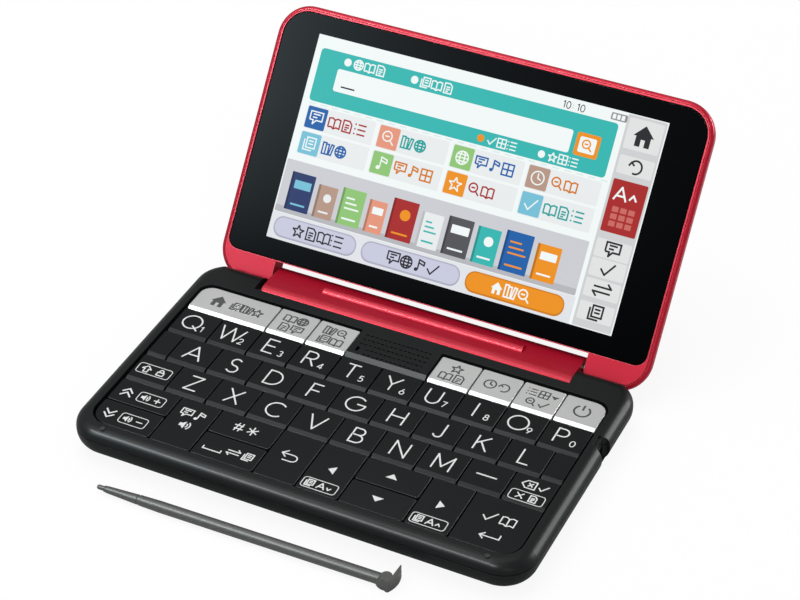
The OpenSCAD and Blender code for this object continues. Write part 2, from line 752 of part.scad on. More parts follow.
// The pen's head in plan, from its inner end and the pen's axis: a lip along the low edge, a curved
// outer side, and the fin that stands up in the notch
module head_plan() {
    intersection() {
        translate([head_l - side_r, side_up]) circle(side_r, $fn = 96);
        polygon([[head_t / 2, lip_recess - head_below], [head_l - lip_in, lip_recess - head_below],
            [head_l - lip_in, -head_below], [head_l, -head_below], [head_l, fin_h],
            [head_l - fin_top, fin_h], [head_l - fin_w, fin_foot], [head_l - fin_w, 0], [head_t / 2, 0]]);
    }
}

// Pen, lying on its barrel and on the round end of its head
module pen() {
    tip_l = 2.4;
    neck = pen_r - 0.18;
    dip = asin((head_t / 2 - pen_r) / (pen_l - head_l + head_t / 2 - cone_l - taper_l));
    profile = [[0, 0], [tip_r * 0.6, 0], [tip_r * 0.92, 0.25], [tip_r, 0.7], [tip_r, tip_l],
        [tip_r + 0.2, tip_l], [tip_r + 0.35, tip_l + 1.2], [neck - 0.06, cone_l - 0.7],
        [neck - 0.22, cone_l - 0.6], [neck - 0.22, cone_l - 0.15], [neck, cone_l],
        [pen_r, cone_l + taper_l], [pen_r, pen_l - head_l + 0.9], [0, pen_l - head_l + 0.9]];
    color(pen_grey) translate([pen_x, front_y - pen_away, pen_r - (cone_l + taper_l) * sin(dip)])
        rotate([0, 0, pen_turn]) translate([-pen_l / 2, 0, 0]) rotate([0, -dip, 0]) {
            rotate([0, 90, 0]) rotate_extrude() polygon(profile);
            translate([pen_l - head_l, 0, -head_t / 2]) {
                linear_extrude(head_t) head_plan();
                translate([head_t / 2, 0, head_t / 2]) rotate([90, 0, 0])
                    cylinder(h = head_below - lip_recess, r = head_t / 2);
                translate([head_l - disc_in, 0, 0.05]) cylinder(h = head_t - 0.05, r = disc_r);
            }
        }
}

base_top_cover();
base_bottom_cover();
main_board();
battery_pack();
rubber_feet();
base_hinges_and_screws();
hinge_link();
lid_hinges();
lid_rear_cover();
lid_front_frame();
display_glass();
lcd_panel();
pen();
for (k = KEYS) key(k);
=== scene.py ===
"""Looks of a clamshell electronic dictionary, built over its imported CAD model.

Lengths in this file are millimetres in the frame of the CAD model and become metres when a mesh is written.
"""

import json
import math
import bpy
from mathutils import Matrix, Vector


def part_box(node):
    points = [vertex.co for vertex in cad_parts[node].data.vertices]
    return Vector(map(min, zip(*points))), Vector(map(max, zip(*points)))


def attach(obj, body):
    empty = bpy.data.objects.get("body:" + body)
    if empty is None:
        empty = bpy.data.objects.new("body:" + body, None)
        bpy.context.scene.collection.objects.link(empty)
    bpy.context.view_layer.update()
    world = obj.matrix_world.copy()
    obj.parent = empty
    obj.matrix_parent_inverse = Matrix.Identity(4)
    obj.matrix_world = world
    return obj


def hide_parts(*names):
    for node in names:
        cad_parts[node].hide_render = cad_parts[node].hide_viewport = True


bl_info = {
    "name": "Clamshell dictionary",
    "version": (1, 0, 0),
    "blender": (4, 5, 0),
    "location": "View3D > Sidebar > Dictionary",
    "description": "Key caps with printed marks, case, hinge link, screen, pen and studio of a clamshell dictionary",
    "category": "Object",
}

import bpy
import numpy as np
from mathutils import Matrix, Vector

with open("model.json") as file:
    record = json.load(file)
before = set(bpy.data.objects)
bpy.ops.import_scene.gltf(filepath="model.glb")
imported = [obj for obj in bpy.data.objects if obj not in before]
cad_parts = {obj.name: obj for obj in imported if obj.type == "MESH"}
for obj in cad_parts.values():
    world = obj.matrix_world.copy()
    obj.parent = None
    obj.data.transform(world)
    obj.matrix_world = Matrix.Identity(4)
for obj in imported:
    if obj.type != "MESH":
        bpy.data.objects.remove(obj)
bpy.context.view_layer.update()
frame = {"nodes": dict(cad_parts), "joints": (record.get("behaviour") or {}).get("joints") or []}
MM = 0.001

JOINTS = {joint["name"]: joint for joint in frame["joints"]}
LID_AXIS = np.array(JOINTS["lid_on_link"]["pos_m"]) / MM
LID_LEAN = math.radians(52.9)
LID_UP = np.array([0, math.cos(LID_LEAN), math.sin(LID_LEAN)])
LID_OUT = np.array([0, -math.sin(LID_LEAN), math.cos(LID_LEAN)])
SCREEN_Z = 3.25
GLASS = (-73.75, 5.5, 73.75, 86.92)
GLASS_CORNERS = (3.8, 3.8, 8.6, 8.6)
GLASS_Z, GLASS_ROUND = 2.3, 0.25
PARTING_Z = 8.15
FLOOR_Z, FLOOR_HALF = -0.02, 3000

# Print and picture: depth to which marks reach down, and the steps by which later layers lie higher
SUNK, STROKE_LIFT, TILE_LIFT = 0.05, 0.003, 0.0004
# Width of the frames round marks, as a share of the fine stroke, and of the larger marks on silver keys
FRAME_SHARE, SILVER_SHARE = 0.65, 1.25

# Camera in metres, and the card that the glass mirrors to it, in millimetres of the screen half
CAMERA_PLACE, CAMERA_AIM, CAMERA_ROLL = (0.25736, -0.52147, 0.49157), (-0.3439, 0.7071, -0.6178), -0.3
CARD_AWAY, CARD_EYE, CARD_TINT = 400.0, (257.4, 55.7, 731.3), (0.80, 1.0, 1.08)

LETTER_ROWS = ("qwertyuiop", "asdfghjkl", "zxcvbnm")
SILVER_KEYS = ("home", "book_a", "book_b", "book_c", "recent", "list", "power")


def low_high(node):
    """Lowest and highest corner of a CAD node in millimetres."""
    low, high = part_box(node)
    return np.array(low) / MM, np.array(high) / MM


# ---------------------------------------------------------------- outlines and surfaces


def arc(cx, cy, rx, ry, a0, a1, step=12.0):
    """Points of an ellipse's arc: centre plus radii times cosine and sine of angles from a0 to a1 degrees."""
    n = max(3, int(abs(a1 - a0) / step) + 1)
    t = np.radians(np.linspace(a0, a1, n))
    return np.stack([cx + rx * np.cos(t), cy + ry * np.sin(t)], 1)


def rounded_outline(x0, y0, x1, y1, radii, steps=4, extra=()):
    """Rectangle's outline, anticlockwise, with a quarter circle of its own radius at each corner.

    The radii are in the order front left, front right, rear right, rear left. Each height in extra
    adds a point on the left and on the right side, where another face may begin.
    """
    corners = [(x0, y0, 180), (x1, y0, 270), (x1, y1, 0), (x0, y1, 90)]
    parts = []
    for (x, y, start), r in zip(corners, radii):
        cx, cy = (x + r if x == x0 else x - r), (y + r if y == y0 else y - r)
        t = np.radians(np.linspace(start, start + 90, steps + 1))
        parts.append(np.stack([cx + r * np.cos(t), cy + r * np.sin(t)], 1))
    right = np.array([[x1, h] for h in sorted(extra)]).reshape(-1, 2)
    left = np.array([[x0, h] for h in sorted(extra, reverse=True)]).reshape(-1, 2)
    return np.vstack([parts[0], parts[1], right, parts[2], parts[3], left])


def outward(outline):
    """Normals of a closed anticlockwise outline: the mean direction of the two sides at a point, turned by 90 degrees.

    Each is long enough to move both of its sides by one unit, and two units long at the most.
    """
    before = outline - np.roll(outline, 1, 0)
    after = np.roll(outline, -1, 0) - outline
    before /= np.linalg.norm(before, axis=1)[:, None]
    after /= np.linalg.norm(after, axis=1)[:, None]
    tangent = before + after
    tangent /= np.linalg.norm(tangent, axis=1)[:, None]
    reach = 1 / np.clip(np.einsum("ij,ij->i", tangent, after), 0.5, 1)
    return np.stack([tangent[:, 1], -tangent[:, 0]], 1) * reach[:, None]


def band(rows, columns, wrap_rows=False, wrap_columns=True):
    """Quads between neighbouring rows and columns of a grid of points that is stored row by row."""
    r = np.arange(rows if wrap_rows else rows - 1)
    c = np.arange(columns if wrap_columns else columns - 1)
    i, j = np.meshgrid(r, c, indexing="ij")
    i2, j2 = (i + 1) % rows, (j + 1) % columns
    return np.stack([i * columns + j, i * columns + j2, i2 * columns + j2, i2 * columns + j], -1).reshape(-1, 4)


class Solid:
    """Points and faces of one piece while it is put together, with a colour or material number per part."""

    def __init__(self):
        self.points, self.faces, self.colours, self.slots = [], [], [], []
        self.count = 0

    def add(self, points, faces, colour=None, slot=0):
        """Adds points (an array) and faces (arrays or tuples of their indices)."""
        points = np.asarray(points, float)
        for face in faces:
            self.faces.append([int(i) + self.count for i in face])
            self.slots.append(slot)
        self.points.append(points)
        if colour is not None:
            self.colours.append(np.tile(np.append(colour, 1.0), (len(points), 1)))
        self.count += len(points)
        return self

    def place(self, where=None):
        """All points, taken through a function of an (n, 3) array where one is given."""
        points = np.vstack(self.points)
        return where(points) if where else points


def on_lid(points):
    """From the screen half's own frame, x along the hinge, y up the screen and z out of it, to the CAD frame."""
    return LID_AXIS + points[:, :1] * np.array([1.0, 0, 0]) + points[:, 1:2] * LID_UP + points[:, 2:] * LID_OUT


def plate(solid, outline, levels, height=None, splits=(), colour=None, slot=0):
    """Closed plate: the outline, drawn in by each level's inset at that level's z, joined ring to ring.

    height, a function of x and y, is added to z on every level but the first. splits are heights of
    y at which the flat top is divided, so that a crease can run across it.
    """
    n = len(outline)
    normals = outward(outline)
    rings = []
    for k, (inset, z) in enumerate(levels):
        ring = outline - normals * inset
        lift = height(outline[:, 0], outline[:, 1]) if height and k else 0
        rings.append(np.column_stack([ring, np.full(n, z) + lift]))
    points = np.vstack(rings)
    faces = list(band(len(levels), n))
    faces.append(range(n - 1, -1, -1))
    top = (len(levels) - 1) * n
    y = outline[:, 1]
    bounds = [-np.inf, *sorted(splits), np.inf]
    for low, high in zip(bounds[:-1], bounds[1:]):
        faces.append([top + i for i in range(n) if low - 1e-6 <= y[i] <= high + 1e-6])
    return solid.add(points, faces, colour, slot)


def at_height(points, z):
    """Points of x and y with one z."""
    return np.column_stack([points, np.full(len(points), z)])


def ribbon(solid, path, width, z0, z1, colour=None, slot=0):
    """Flat bar of constant width along a path: a rectangle carried along it, mitred where it bends.

    The rectangle's sides are the path's points plus and minus half the width times the normal. A path
    that ends where it starts is closed. It is cut where it turns sharply, and open ends are square.
    """
    path = np.asarray(path, float)
    closed = len(path) > 3 and np.allclose(path[0], path[-1])
    step = np.diff(path, axis=0)
    step /= np.linalg.norm(step, axis=1)[:, None]
    turn = np.einsum("ij,ij->i", step[:-1], step[1:])
    cuts = np.nonzero(turn < -0.1)[0] + 1
    if closed and (len(cuts) or np.dot(step[0], step[-1]) < -0.1):
        closed = False
    bounds = [0, *cuts, len(path) - 1]
    for k, (a, b) in enumerate(zip(bounds[:-1], bounds[1:])):
        p = path[a:b + 1]
        if closed:
            p = p[:-1]
            before, after = p - np.roll(p, 1, 0), np.roll(p, -1, 0) - p
        else:
            d = np.diff(p, axis=0)
            before, after = np.vstack([d[:1], d]), np.vstack([d, d[-1:]])
        before = before / np.linalg.norm(before, axis=1)[:, None]
        after = after / np.linalg.norm(after, axis=1)[:, None]
        tangent = before + after
        tangent /= np.linalg.norm(tangent, axis=1)[:, None]
        reach = 1 / np.clip(np.einsum("ij,ij->i", tangent, after), 0.5, 1)
        side = np.stack([-tangent[:, 1], tangent[:, 0]], 1) * (reach * width / 2)[:, None]
        if not closed and k:
            p = p.copy()
            p[0] -= tangent[0] * width * 0.35
        if not closed and k < len(bounds) - 2:
            p = p.copy()
            p[-1] += tangent[-1] * width * 0.35
        top = z1 + 0.002 * k
        left, right = p + side, p - side
        rows = np.stack([at_height(right, z0), at_height(right, top), at_height(left, top), at_height(left, z0)], 1)
        faces = list(band(len(p), 4, wrap_rows=closed)[:, ::-1])
        if not closed:
            last = (len(p) - 1) * 4
            faces += [(0, 1, 2, 3), (last + 3, last + 2, last + 1, last)]
        solid.add(rows.reshape(-1, 3), faces, colour, slot)
    return solid


def write_mesh(name, solid, where=None, materials=(), sharp=24.0, weighted=True):
    """Mesh object at the origin from a Solid's points in millimetres, smooth but for edges above the sharp angle."""
    mesh = bpy.data.meshes.new(name)
    mesh.from_pydata((solid.place(where) * MM).tolist(), [], solid.faces)
    for material in materials:
        mesh.materials.append(bpy.data.materials[material])
    mesh.polygons.foreach_set("material_index", solid.slots)
    mesh.polygons.foreach_set("use_smooth", [True] * len(mesh.polygons))
    mesh.set_sharp_from_angle(angle=math.radians(sharp))
    if solid.colours:
        shade = mesh.color_attributes.new("picture", "FLOAT_COLOR", "POINT")
        shade.data.foreach_set("color", np.vstack(solid.colours).astype(np.float32).ravel())
    mesh.validate()
    piece = bpy.data.objects.new(name, mesh)
    bpy.context.scene.collection.objects.link(piece)
    if weighted:
        weights = piece.modifiers.new("face weights", "WEIGHTED_NORMAL")
        weights.keep_sharp = True
    return piece


# ---------------------------------------------------------------- marks that are printed on the keys

# Strokes of each mark in units of its height, from its lower left corner: points as x,y, arcs as
# @centre x,centre y,radius x,radius y,first angle,last angle. A bar starts a new stroke, # a filled shape.
LETTERS = {
    "a": (0.92, "0,0 .46,1 .92,0|.15,.34 .77,.34"),
    "b": (0.62, "0,0 0,1 .32,1 @.32,.77,.23,.23,90,-90 0,.54|.32,.54 @.33,.27,.29,.27,90,-90 0,0 0,.05"),
    "c": (0.86, "@.5,.5,.5,.5,46,314"),
    "d": (0.8, "0,0 0,1 .3,1 @.3,.5,.5,.5,90,-90 0,0"),
    "e": (0.56, ".56,0 0,0 0,1 .56,1|0,.52 .52,.52"),
    "f": (0.52, "0,0 0,1 .52,1|0,.52 .48,.52"),
    "g": (1.0, "@.5,.5,.5,.5,46,360 .56,.5"),
    "h": (0.74, "0,0 0,1|.74,0 .74,1|0,.52 .74,.52"),
    "i": (0.0, "0,0 0,1"),
    "j": (0.42, ".42,1 .42,.22 @.21,.22,.21,.22,0,-165"),
    "k": (0.66, "0,0 0,1|.6,1 .02,.44|.2,.61 .66,0"),
    "l": (0.52, "0,1 0,0 .52,0"),
    "m": (0.86, "0,0 0,1 .43,.22 .86,1 .86,0"),
    "n": (0.74, "0,0 0,1 .74,0 .74,1"),
    "o": (1.0, "@.5,.5,.5,.5,0,360"),
    "p": (0.58, "0,0 0,1 .3,1 @.3,.73,.27,.27,90,-90 0,.46"),
    "q": (1.0, "@.5,.5,.5,.5,0,360|.62,.26 1.0,-.06"),
    "r": (0.62, "0,0 0,1 .32,1 @.32,.74,.26,.26,90,-90 0,.48|.28,.48 .62,0"),
    "s": (0.56, "@.29,.755,.24,.245,35,270 @.28,.255,.28,.255,90,-150"),
    "t": (0.66, "0,1 .66,1|.33,0 .33,1"),
    "u": (0.7, "0,1 0,.35 @.35,.35,.35,.35,180,360 .7,1"),
    "v": (0.86, "0,1 .43,0 .86,1"),
    "w": (1.28, "0,1 .33,0 .64,1 .95,0 1.28,1"),
    "x": (0.74, "0,0 .74,1|0,1 .74,0"),
    "y": (0.78, "0,1 .39,.46 .78,1|.39,.46 .39,0"),
    "z": (0.66, "0,1 .66,1 0,0 .66,0"),
    "0": (0.6, "@.3,.5,.3,.5,0,360"),
    "1": (0.24, "0,.8 .24,1 .24,0"),
    "2": (0.58, "@.28,.7,.27,.3,165,-38 0,0 .58,0"),
    "3": (0.54, "@.26,.74,.24,.26,145,-90|@.26,.25,.27,.25,90,-150"),
    "4": (0.62, ".45,0 .45,1 0,.28 .62,.28"),
    "5": (0.54, ".5,1 .1,1 .04,.54 @.25,.32,.28,.32,130,-145"),
    "6": (0.56, "@.28,.3,.28,.3,0,360|.06,.42 .4,1"),
    "7": (0.56, "0,1 .56,1 .2,0"),
    "8": (0.56, "@.28,.76,.22,.24,0,360|@.28,.27,.28,.27,0,360"),
    "9": (0.56, "@.28,.7,.28,.3,0,360|.5,.58 .16,0"),
    ":": (0.1, "#0,.2 .1,.2 .1,.3 0,.3|#0,.6 .1,.6 .1,.7 0,.7"),
}
SIGNS = {
    "home": (1.0, "#0,.48 .5,1 1,.48 .86,.48 .86,0 .6,0 .6,.34 .4,.34 .4,0 .14,0 .14,.48"),
    "book": (1.1, "0,.08 0,.86 .3,.92 .55,.78 .8,.92 1.1,.86 1.1,.08 .8,.14 .55,0 .3,.14 0,.08|.55,.78 .55,0"),
    "shelf": (1.0, "0,0 0,1 .3,1 .3,0 0,0|.3,.9 .58,.9 .58,0 .3,0|.66,.02 .82,.94 1.04,.9 .9,0 .66,.02"),
    "page": (0.8, "0,0 0,1 .55,1 .8,.74 .8,0 0,0|.18,.62 .6,.62|.18,.4 .6,.4|.18,.2 .45,.2"),
    "pages": (0.95, ".2,.2 .2,1 .95,1 .95,.2 .2,.2|0,.82 0,0 .74,0|.36,.74 .78,.74|.36,.5 .78,.5"),
    "globe": (1.0, "@.5,.5,.5,.5,0,360|@.5,.5,.2,.5,0,360|0,.5 1,.5|.1,.76 .9,.76|.1,.24 .9,.24"),
    "bubble": (1.05, "0,.34 0,1 1.05,1 1.05,.34 .55,.34 .3,.02 .3,.34 0,.34|.22,.8 .82,.8|.22,.56 .6,.56"),
    "lens": (1.0, "@.4,.6,.38,.38,0,360|.68,.32 1,0|.22,.6 .58,.6"),
    "clock": (1.0, "@.5,.5,.5,.5,0,360|.5,.86 .5,.5 .78,.38"),
    "turn_back": (1.0, "@.52,.48,.44,.46,150,-110|0,.5 .16,.78 .4,.56"),
    "list": (1.1, "0,.92 .14,.92|.32,.92 1.1,.92|0,.5 .14,.5|.32,.5 1.1,.5|0,.08 .14,.08|.32,.08 1.1,.08"),
    "grid": (1.0, "0,0 0,1 1,1 1,0 0,0|.5,0 .5,1|0,.5 1,.5"),
    "star": (1.0, ".5,1 .64,.64 1,.62 .72,.38 .82,0 .5,.22 .18,0 .28,.38 0,.62 .36,.64 .5,1"),
    "tick": (1.0, "0,.48 .36,.08 1,.94"),
    "note": (0.8, ".3,.2 .3,1 .8,.86 .8,.6 .3,.74|#@.16,.16,.17,.15,0,345"),
    "speaker": (1.0, "#0,.32 .22,.32 .5,.04 .5,.96 .22,.68 0,.68|@.5,.5,.22,.26,-55,55|@.5,.5,.46,.5,-55,55"),
    "plus": (0.8, "0,.5 .8,.5|.4,.1 .4,.9"),
    "minus": (0.8, "0,.5 .8,.5"),
    "up_mark": (1.0, "0,0 .5,.5 1,0|0,.5 .5,1 1,.5"),
    "down_mark": (1.0, "0,1 .5,.5 1,1|0,.5 .5,0 1,.5"),
    "shift": (1.0, ".5,1 1,.5 .72,.5 .72,0 .28,0 .28,.5 0,.5 .5,1"),
    "lock": (0.8, "0,0 0,.55 .8,.55 .8,0 0,0|.16,.55 .16,.72 @.4,.72,.24,.26,180,0 .64,.55"),
    "erase": (1.35, ".42,0 0,.5 .42,1 1.35,1 1.35,0 .42,0|.62,.26 1.08,.74|.62,.74 1.08,.26"),
    "cross": (1.0, "0,0 1,1|0,1 1,0"),
    "blank_bar": (2.1, "0,.42 0,0 2.1,0 2.1,.42"),
    "swap": (1.3, "0,.68 1.3,.68 .98,1|1.3,.32 0,.32 .32,0"),
    "back": (1.25, ".36,1 0,.68 .36,.36|0,.68 .86,.68 @.86,.37,.34,.31,90,-90 .26,.06"),
    "hash": (0.9, ".1,.3 .9,.3|0,.7 .8,.7|.2,0 .36,1|.56,0 .72,1"),
    "asterisk": (0.86, ".43,0 .43,1|0,.25 .86,.75|0,.75 .86,.25"),
    "up": (1.8, "#0,0 1.8,0 .9,1"),
    "down": (1.8, "#0,1 .9,0 1.8,1"),
    "left": (0.68, "#.68,0 .68,1 0,.5"),
    "right": (0.68, "#0,0 .68,.5 0,1"),
    "letter_small": (1.5, "0,0 .5,1 1,0|.18,.34 .82,.34|1.22,.56 1.5,.16 1.78,.56"),
    "letter_large": (1.5, "0,0 .5,1 1,0|.18,.34 .82,.34|1.22,.2 1.5,.6 1.78,.2"),
    "enter": (1.0, "1,.46 1,.14 0,.14|.24,.36 0,.14 .24,-.08"),
    "power": (1.0, "@.5,.5,.5,.5,125,415|.5,.58 .5,1.08"),
    "dash": (1.0, "0,.5 1,.5"),
}


def strokes(text):
    """Splits a mark's words into (filled, points) strokes, its arcs worked out."""
    found = []
    for stroke in text.split("|"):
        filled = stroke.startswith("#")
        parts = []
        for word in stroke.lstrip("#").split():
            numbers = [float(x) for x in word.lstrip("@").split(",")]
            parts.append(arc(*numbers) if word.startswith("@") else np.array([numbers]))
        points = np.vstack(parts)
        keep = np.append(True, np.linalg.norm(np.diff(points, axis=0), axis=1) > 1e-4)
        found.append((filled, points[keep]))
    return found


def print_mark(solid, mark, x, y, height, width, z0, z1, colour=None, slot=0):
    """One mark of a given height, its middle at x, y, drawn with bars of a given width."""
    reach, text = (LETTERS.get(mark) or SIGNS.get(mark))
    for k, (filled, points) in enumerate(strokes(text)):
        p = (points - [reach / 2, 0.5]) * height + [x, y]
        if not filled:
            ribbon(solid, p, width, z0, z1 + STROKE_LIFT * k, colour, slot)
            continue
        if np.allclose(p[0], p[-1]):
            p = p[:-1]
        area = np.sum(p[:, 0] * np.roll(p[:, 1], -1) - p[:, 1] * np.roll(p[:, 0], -1))
        p = p if area > 0 else p[::-1]
        n = len(p)
        points3 = np.vstack([at_height(p, z0), at_height(p, z1 + STROKE_LIFT * k)])
        solid.add(points3, [*band(2, n), range(n - 1, -1, -1), range(n, 2 * n)], colour, slot)
    return solid


def print_box(solid, x, y, w, h, r, width, z0, z1, colour=None, slot=0):
    """Rounded frame of a given line width round a mark."""
    outline = rounded_outline(x - w / 2, y - h / 2, x + w / 2, y + h / 2, (r,) * 4, 3)
    return ribbon(solid, np.vstack([outline, outline[:1]]), width, z0, z1, colour, slot)


# ---------------------------------------------------------------- finishes


class Field:
    """A value that changes over a surface: one output socket, with the operators that the finishes use."""

    def __init__(self, finish, socket):
        self.finish, self.socket = finish, socket

    def __add__(self, other):
        return self.finish.math("ADD", self, other)

    def __radd__(self, other):
        return self.finish.math("ADD", other, self)

    def __sub__(self, other):
        return self.finish.math("SUBTRACT", self, other)

    def __rsub__(self, other):
        return self.finish.math("SUBTRACT", other, self)

    def __mul__(self, other):
        return self.finish.math("MULTIPLY", self, other)

    def __truediv__(self, other):
        return self.finish.math("DIVIDE", self, other)


class Nodes:
    """A node tree while its nodes are made."""

    def __init__(self, tree):
        self.tree = tree

    def node(self, kind, settings=None, sockets=None):
        """Makes a node: its settings first, then the values or links of its sockets."""
        made = self.tree.nodes.new(kind)
        for key, value in (settings or {}).items():
            setattr(made, key, value)
        for key, value in (sockets or {}).items():
            self.put(made.inputs[key], value)
        return made

    def put(self, socket, value):
        """Links a Field to a socket, or sets a number, colour or vector on it."""
        if isinstance(value, Field):
            self.tree.links.new(value.socket, socket)
        elif isinstance(value, (int, float)):
            socket.default_value = value
        else:
            value = tuple(value)
            socket.default_value = value + (1.0,) if len(socket.default_value) == 4 and len(value) == 3 else value

    def field(self, kind, output, settings=None, sockets=None):
        """Makes a node and gives one of its outputs."""
        return Field(self, self.node(kind, settings, sockets).outputs[output])

    def math(self, operation, *values):
        """A Math node on up to three fields or numbers."""
        return self.field("ShaderNodeMath", 0, {"operation": operation}, dict(enumerate(values)))


class Finish(Nodes):
    """One procedural material, with its Principled shader, while its nodes are made."""

    def __init__(self, name, **constants):
        self.material = bpy.data.materials.get(name) or bpy.data.materials.new(name)
        self.material.name = name
        self.material.use_nodes = True
        super().__init__(self.material.node_tree)
        self.tree.nodes.clear()
        self.shader = self.node("ShaderNodeBsdfPrincipled", sockets=constants)
        self.end = self.node("ShaderNodeOutputMaterial")
        self.tree.links.new(self.shader.outputs[0], self.end.inputs["Surface"])

    def clamp(self, value):
        """The value held between 0 and 1."""
        return self.field("ShaderNodeClamp", 0, None, {"Value": value})

    def vector(self, operation, *values, output=0):
        """A Vector Math node on fields or vectors."""
        return self.field("ShaderNodeVectorMath", output, {"operation": operation}, dict(enumerate(values)))

    def mix(self, factor, first, second):
        """Colour between two colours."""
        return self.field("ShaderNodeMix", 2, {"data_type": "RGBA"}, {0: factor, 6: first, 7: second})

    def place(self):
        """Place on the piece in metres, which is its place in the CAD frame."""
        return self.field("ShaderNodeTexCoord", "Object")

    def noise(self, size, detail=2.0, where=None):
        """Noise whose grains are about size millimetres across, from 0 to 1."""
        sockets = {"Vector": where or self.place(), "Scale": 1 / (size * MM), "Detail": detail}
        return self.field("ShaderNodeTexNoise", "Fac", None, sockets)

    def soft_edge(self, radius):
        """Normal rounded off over edges as by a small radius in millimetres."""
        return self.field("ShaderNodeBevel", 0, {"samples": 4}, {"Radius": radius * MM})

    def edge(self, radius):
        """1 along edges and 0 on faces, from how far the rounded normal leaves the true one."""
        flat = self.field("ShaderNodeNewGeometry", "Normal")
        turned = self.vector("DOT_PRODUCT", self.soft_edge(radius), flat, output="Value")
        return self.clamp((1 - turned) * 6)

    def bump(self, height, depth, strength=1.0, normal=None):
        """Height of depth millimetres as a Bump node, over a rounded normal where one is given."""
        sockets = {"Height": height, "Distance": depth * MM, "Strength": strength}
        if normal is not None:
            sockets["Normal"] = normal
        return self.field("ShaderNodeBump", 0, None, sockets)

    def wear(self, **fields):
        """Puts fields on the shader's sockets: colour, roughness, metallic, normal, emission."""
        names = {"colour": "Base Color", "roughness": "Roughness", "metallic": "Metallic",
                 "normal": "Normal", "emission": "Emission Color"}
        for key, value in fields.items():
            self.put(self.shader.inputs[names[key]], value)
        return self.material


def tone(colour, by):
    """A colour made lighter or darker by a factor, held below 1."""
    return tuple(min(1.0, c * by) for c in colour)


# ---------------------------------------------------------------- properties


def amount(name, description, default, low=0.0, **more):
    """Number that a user may change."""
    return bpy.props.FloatProperty(name=name, description=description, default=default, min=low, **more)


def size(name, description, default):
    """Length in millimetres that a user may change."""
    return amount(name, description, default, precision=3, unit="NONE")


def paint(name, description, default):
    """Colour that a user may change."""
    return bpy.props.FloatVectorProperty(
        name=name, description=description, default=default, size=3, min=0.0, max=1.0, subtype="COLOR")


class KeySizes(bpy.types.PropertyGroup):
    corner: size("Corner radius", "Radius of a key's corners in plan, in millimetres", 0.55)
    edge_round: size("Edge rounding", "Rounding of a key's upper edges, in millimetres", 0.22)
    slope: size("Front slope", "Width of a letter key's sloped front edge, in millimetres", 1.3)
    slope_drop: size("Slope drop", "Drop of the sloped front edge, in millimetres", 0.65)
    letter: size("Letter height", "Height of a printed letter, in millimetres", 6.4)
    digit: size("Digit height", "Height of a printed digit, in millimetres", 2.5)
    stroke: size("Stroke", "Width of a letter's strokes, in millimetres", 0.52)
    fine_stroke: size("Fine stroke", "Width of a small mark's strokes, in millimetres", 0.42)
    digit_stroke: size("Digit stroke", "Width of a printed digit's strokes, in millimetres", 0.34)
    silver_stroke: size("Silver key stroke", "Width of the strokes on the silver keys, in millimetres", 0.52)
    cap: size("Cap thickness", "Thickness of a key cap, in millimetres", 1.5)
    frame_corner: size("Frame corner", "Corner radius of the frames round small marks, in millimetres", 0.9)
    ink: size("Ink", "Height of the print above the key, in millimetres", 0.012)


class ScreenSizes(bpy.types.PropertyGroup):
    picture_width: size("Picture width", "Width of the lit picture, in millimetres", 121.8)
    picture_height: size("Picture height", "Height of the lit picture, in millimetres", 68.5)
    picture_middle: size("Picture middle", "Height of the picture's middle above the hinge axis, in millimetres", 46.41)
    glow: amount("Glow", "Strength of the lit picture", 0.97, max=1.0, subtype="FACTOR")


class CaseColours(bpy.types.PropertyGroup):
    charcoal: paint("Charcoal case", "Colour of the keyboard half", (0.0056, 0.0070, 0.0072))
    key_black: paint("Black keys", "Colour of the letter keys", (0.0037, 0.0046, 0.0050))
    key_silver: paint("Silver keys", "Colour of the top row", (0.43, 0.435, 0.43))
    red: paint("Red case", "Colour of the screen half", (0.38, 0.006, 0.022))
    red_link: paint("Red link", "Colour of the hinge link", (0.37, 0.006, 0.022))
    light_print: paint("Light print", "Colour of the marks on black keys", (0.72, 0.73, 0.73))
    dark_print: paint("Dark print", "Colour of the marks on silver keys", (0.012, 0.0125, 0.014))
    pen: paint("Pen", "Colour of the pen", (0.075, 0.078, 0.074))


class StudioSettings(bpy.types.PropertyGroup):
    key_light: amount("Key light", "A tenth of the power of the large light above", 0.68, unit="POWER")
    fill_light: amount("Fill light", "A tenth of the power of the light in front", 0.24, unit="POWER")
    sky: amount("Sky", "Strength of the light from all sides", 0.46)
    floor_white: amount("Floor white", "Share of plain white in the floor that the camera sees", 0.9,
                        max=1.0, subtype="FACTOR")
    edge_shine: amount("Edge shine", "Brightness of the strip above, which shows only in gloss", 250.0)
    glass_shine: amount("Glass shine", "Brightness of the card that shows in the glass", 32.0)
    lens: amount("Lens", "Focal length of the camera", 108.7, 1.0, unit="CAMERA")


# ---------------------------------------------------------------- finishes of the pieces


def seam_line(finish, height, width):
    """1 within a thin band round a height of z in millimetres, 0 elsewhere."""
    z = finish.field("ShaderNodeSeparateXYZ", "Z", None, {"Vector": finish.place()})
    off = finish.math("ABSOLUTE", z - height * MM) / (width * MM)
    return finish.clamp(1.6 - off * 1.6)


def case_finish(name, colour):
    """Charcoal moulded plastic: a fine spark-eroded grain, paler along sharp edges, and painted shade in the parting
    line between the covers, which the relief also cuts in as a groove.
    """
    f = Finish(name, **{"Specular IOR Level": 0.04, "Coat Weight": 0.08, "Coat Roughness": 0.24})
    grain, cloud = f.noise(0.28, 3), f.noise(9, 2)
    parting_groove_shade, edge = seam_line(f, PARTING_Z, 0.16), f.edge(0.35)
    body = f.mix(cloud, tone(colour, 0.92), tone(colour, 1.1))
    body = f.mix(grain * 0.3, body, tone(colour, 1.6))
    # Paler along sharp edges: a lighter tone of the body is mixed in there.
    body = f.mix(edge * 0.3, body, tone(colour, 3.5))
    # Painted shade: the parting line between the covers is darkened to a tenth of the body, standing in for the shade
    # in the gap between them.
    body = f.mix(parting_groove_shade, body, tone(colour, 0.1))
    normal = f.bump(grain - parting_groove_shade * 3.0, 0.02, 0.4, f.soft_edge(0.22))
    return f.wear(colour=body, roughness=0.42 + cloud * 0.06 - edge * 0.08, normal=normal)


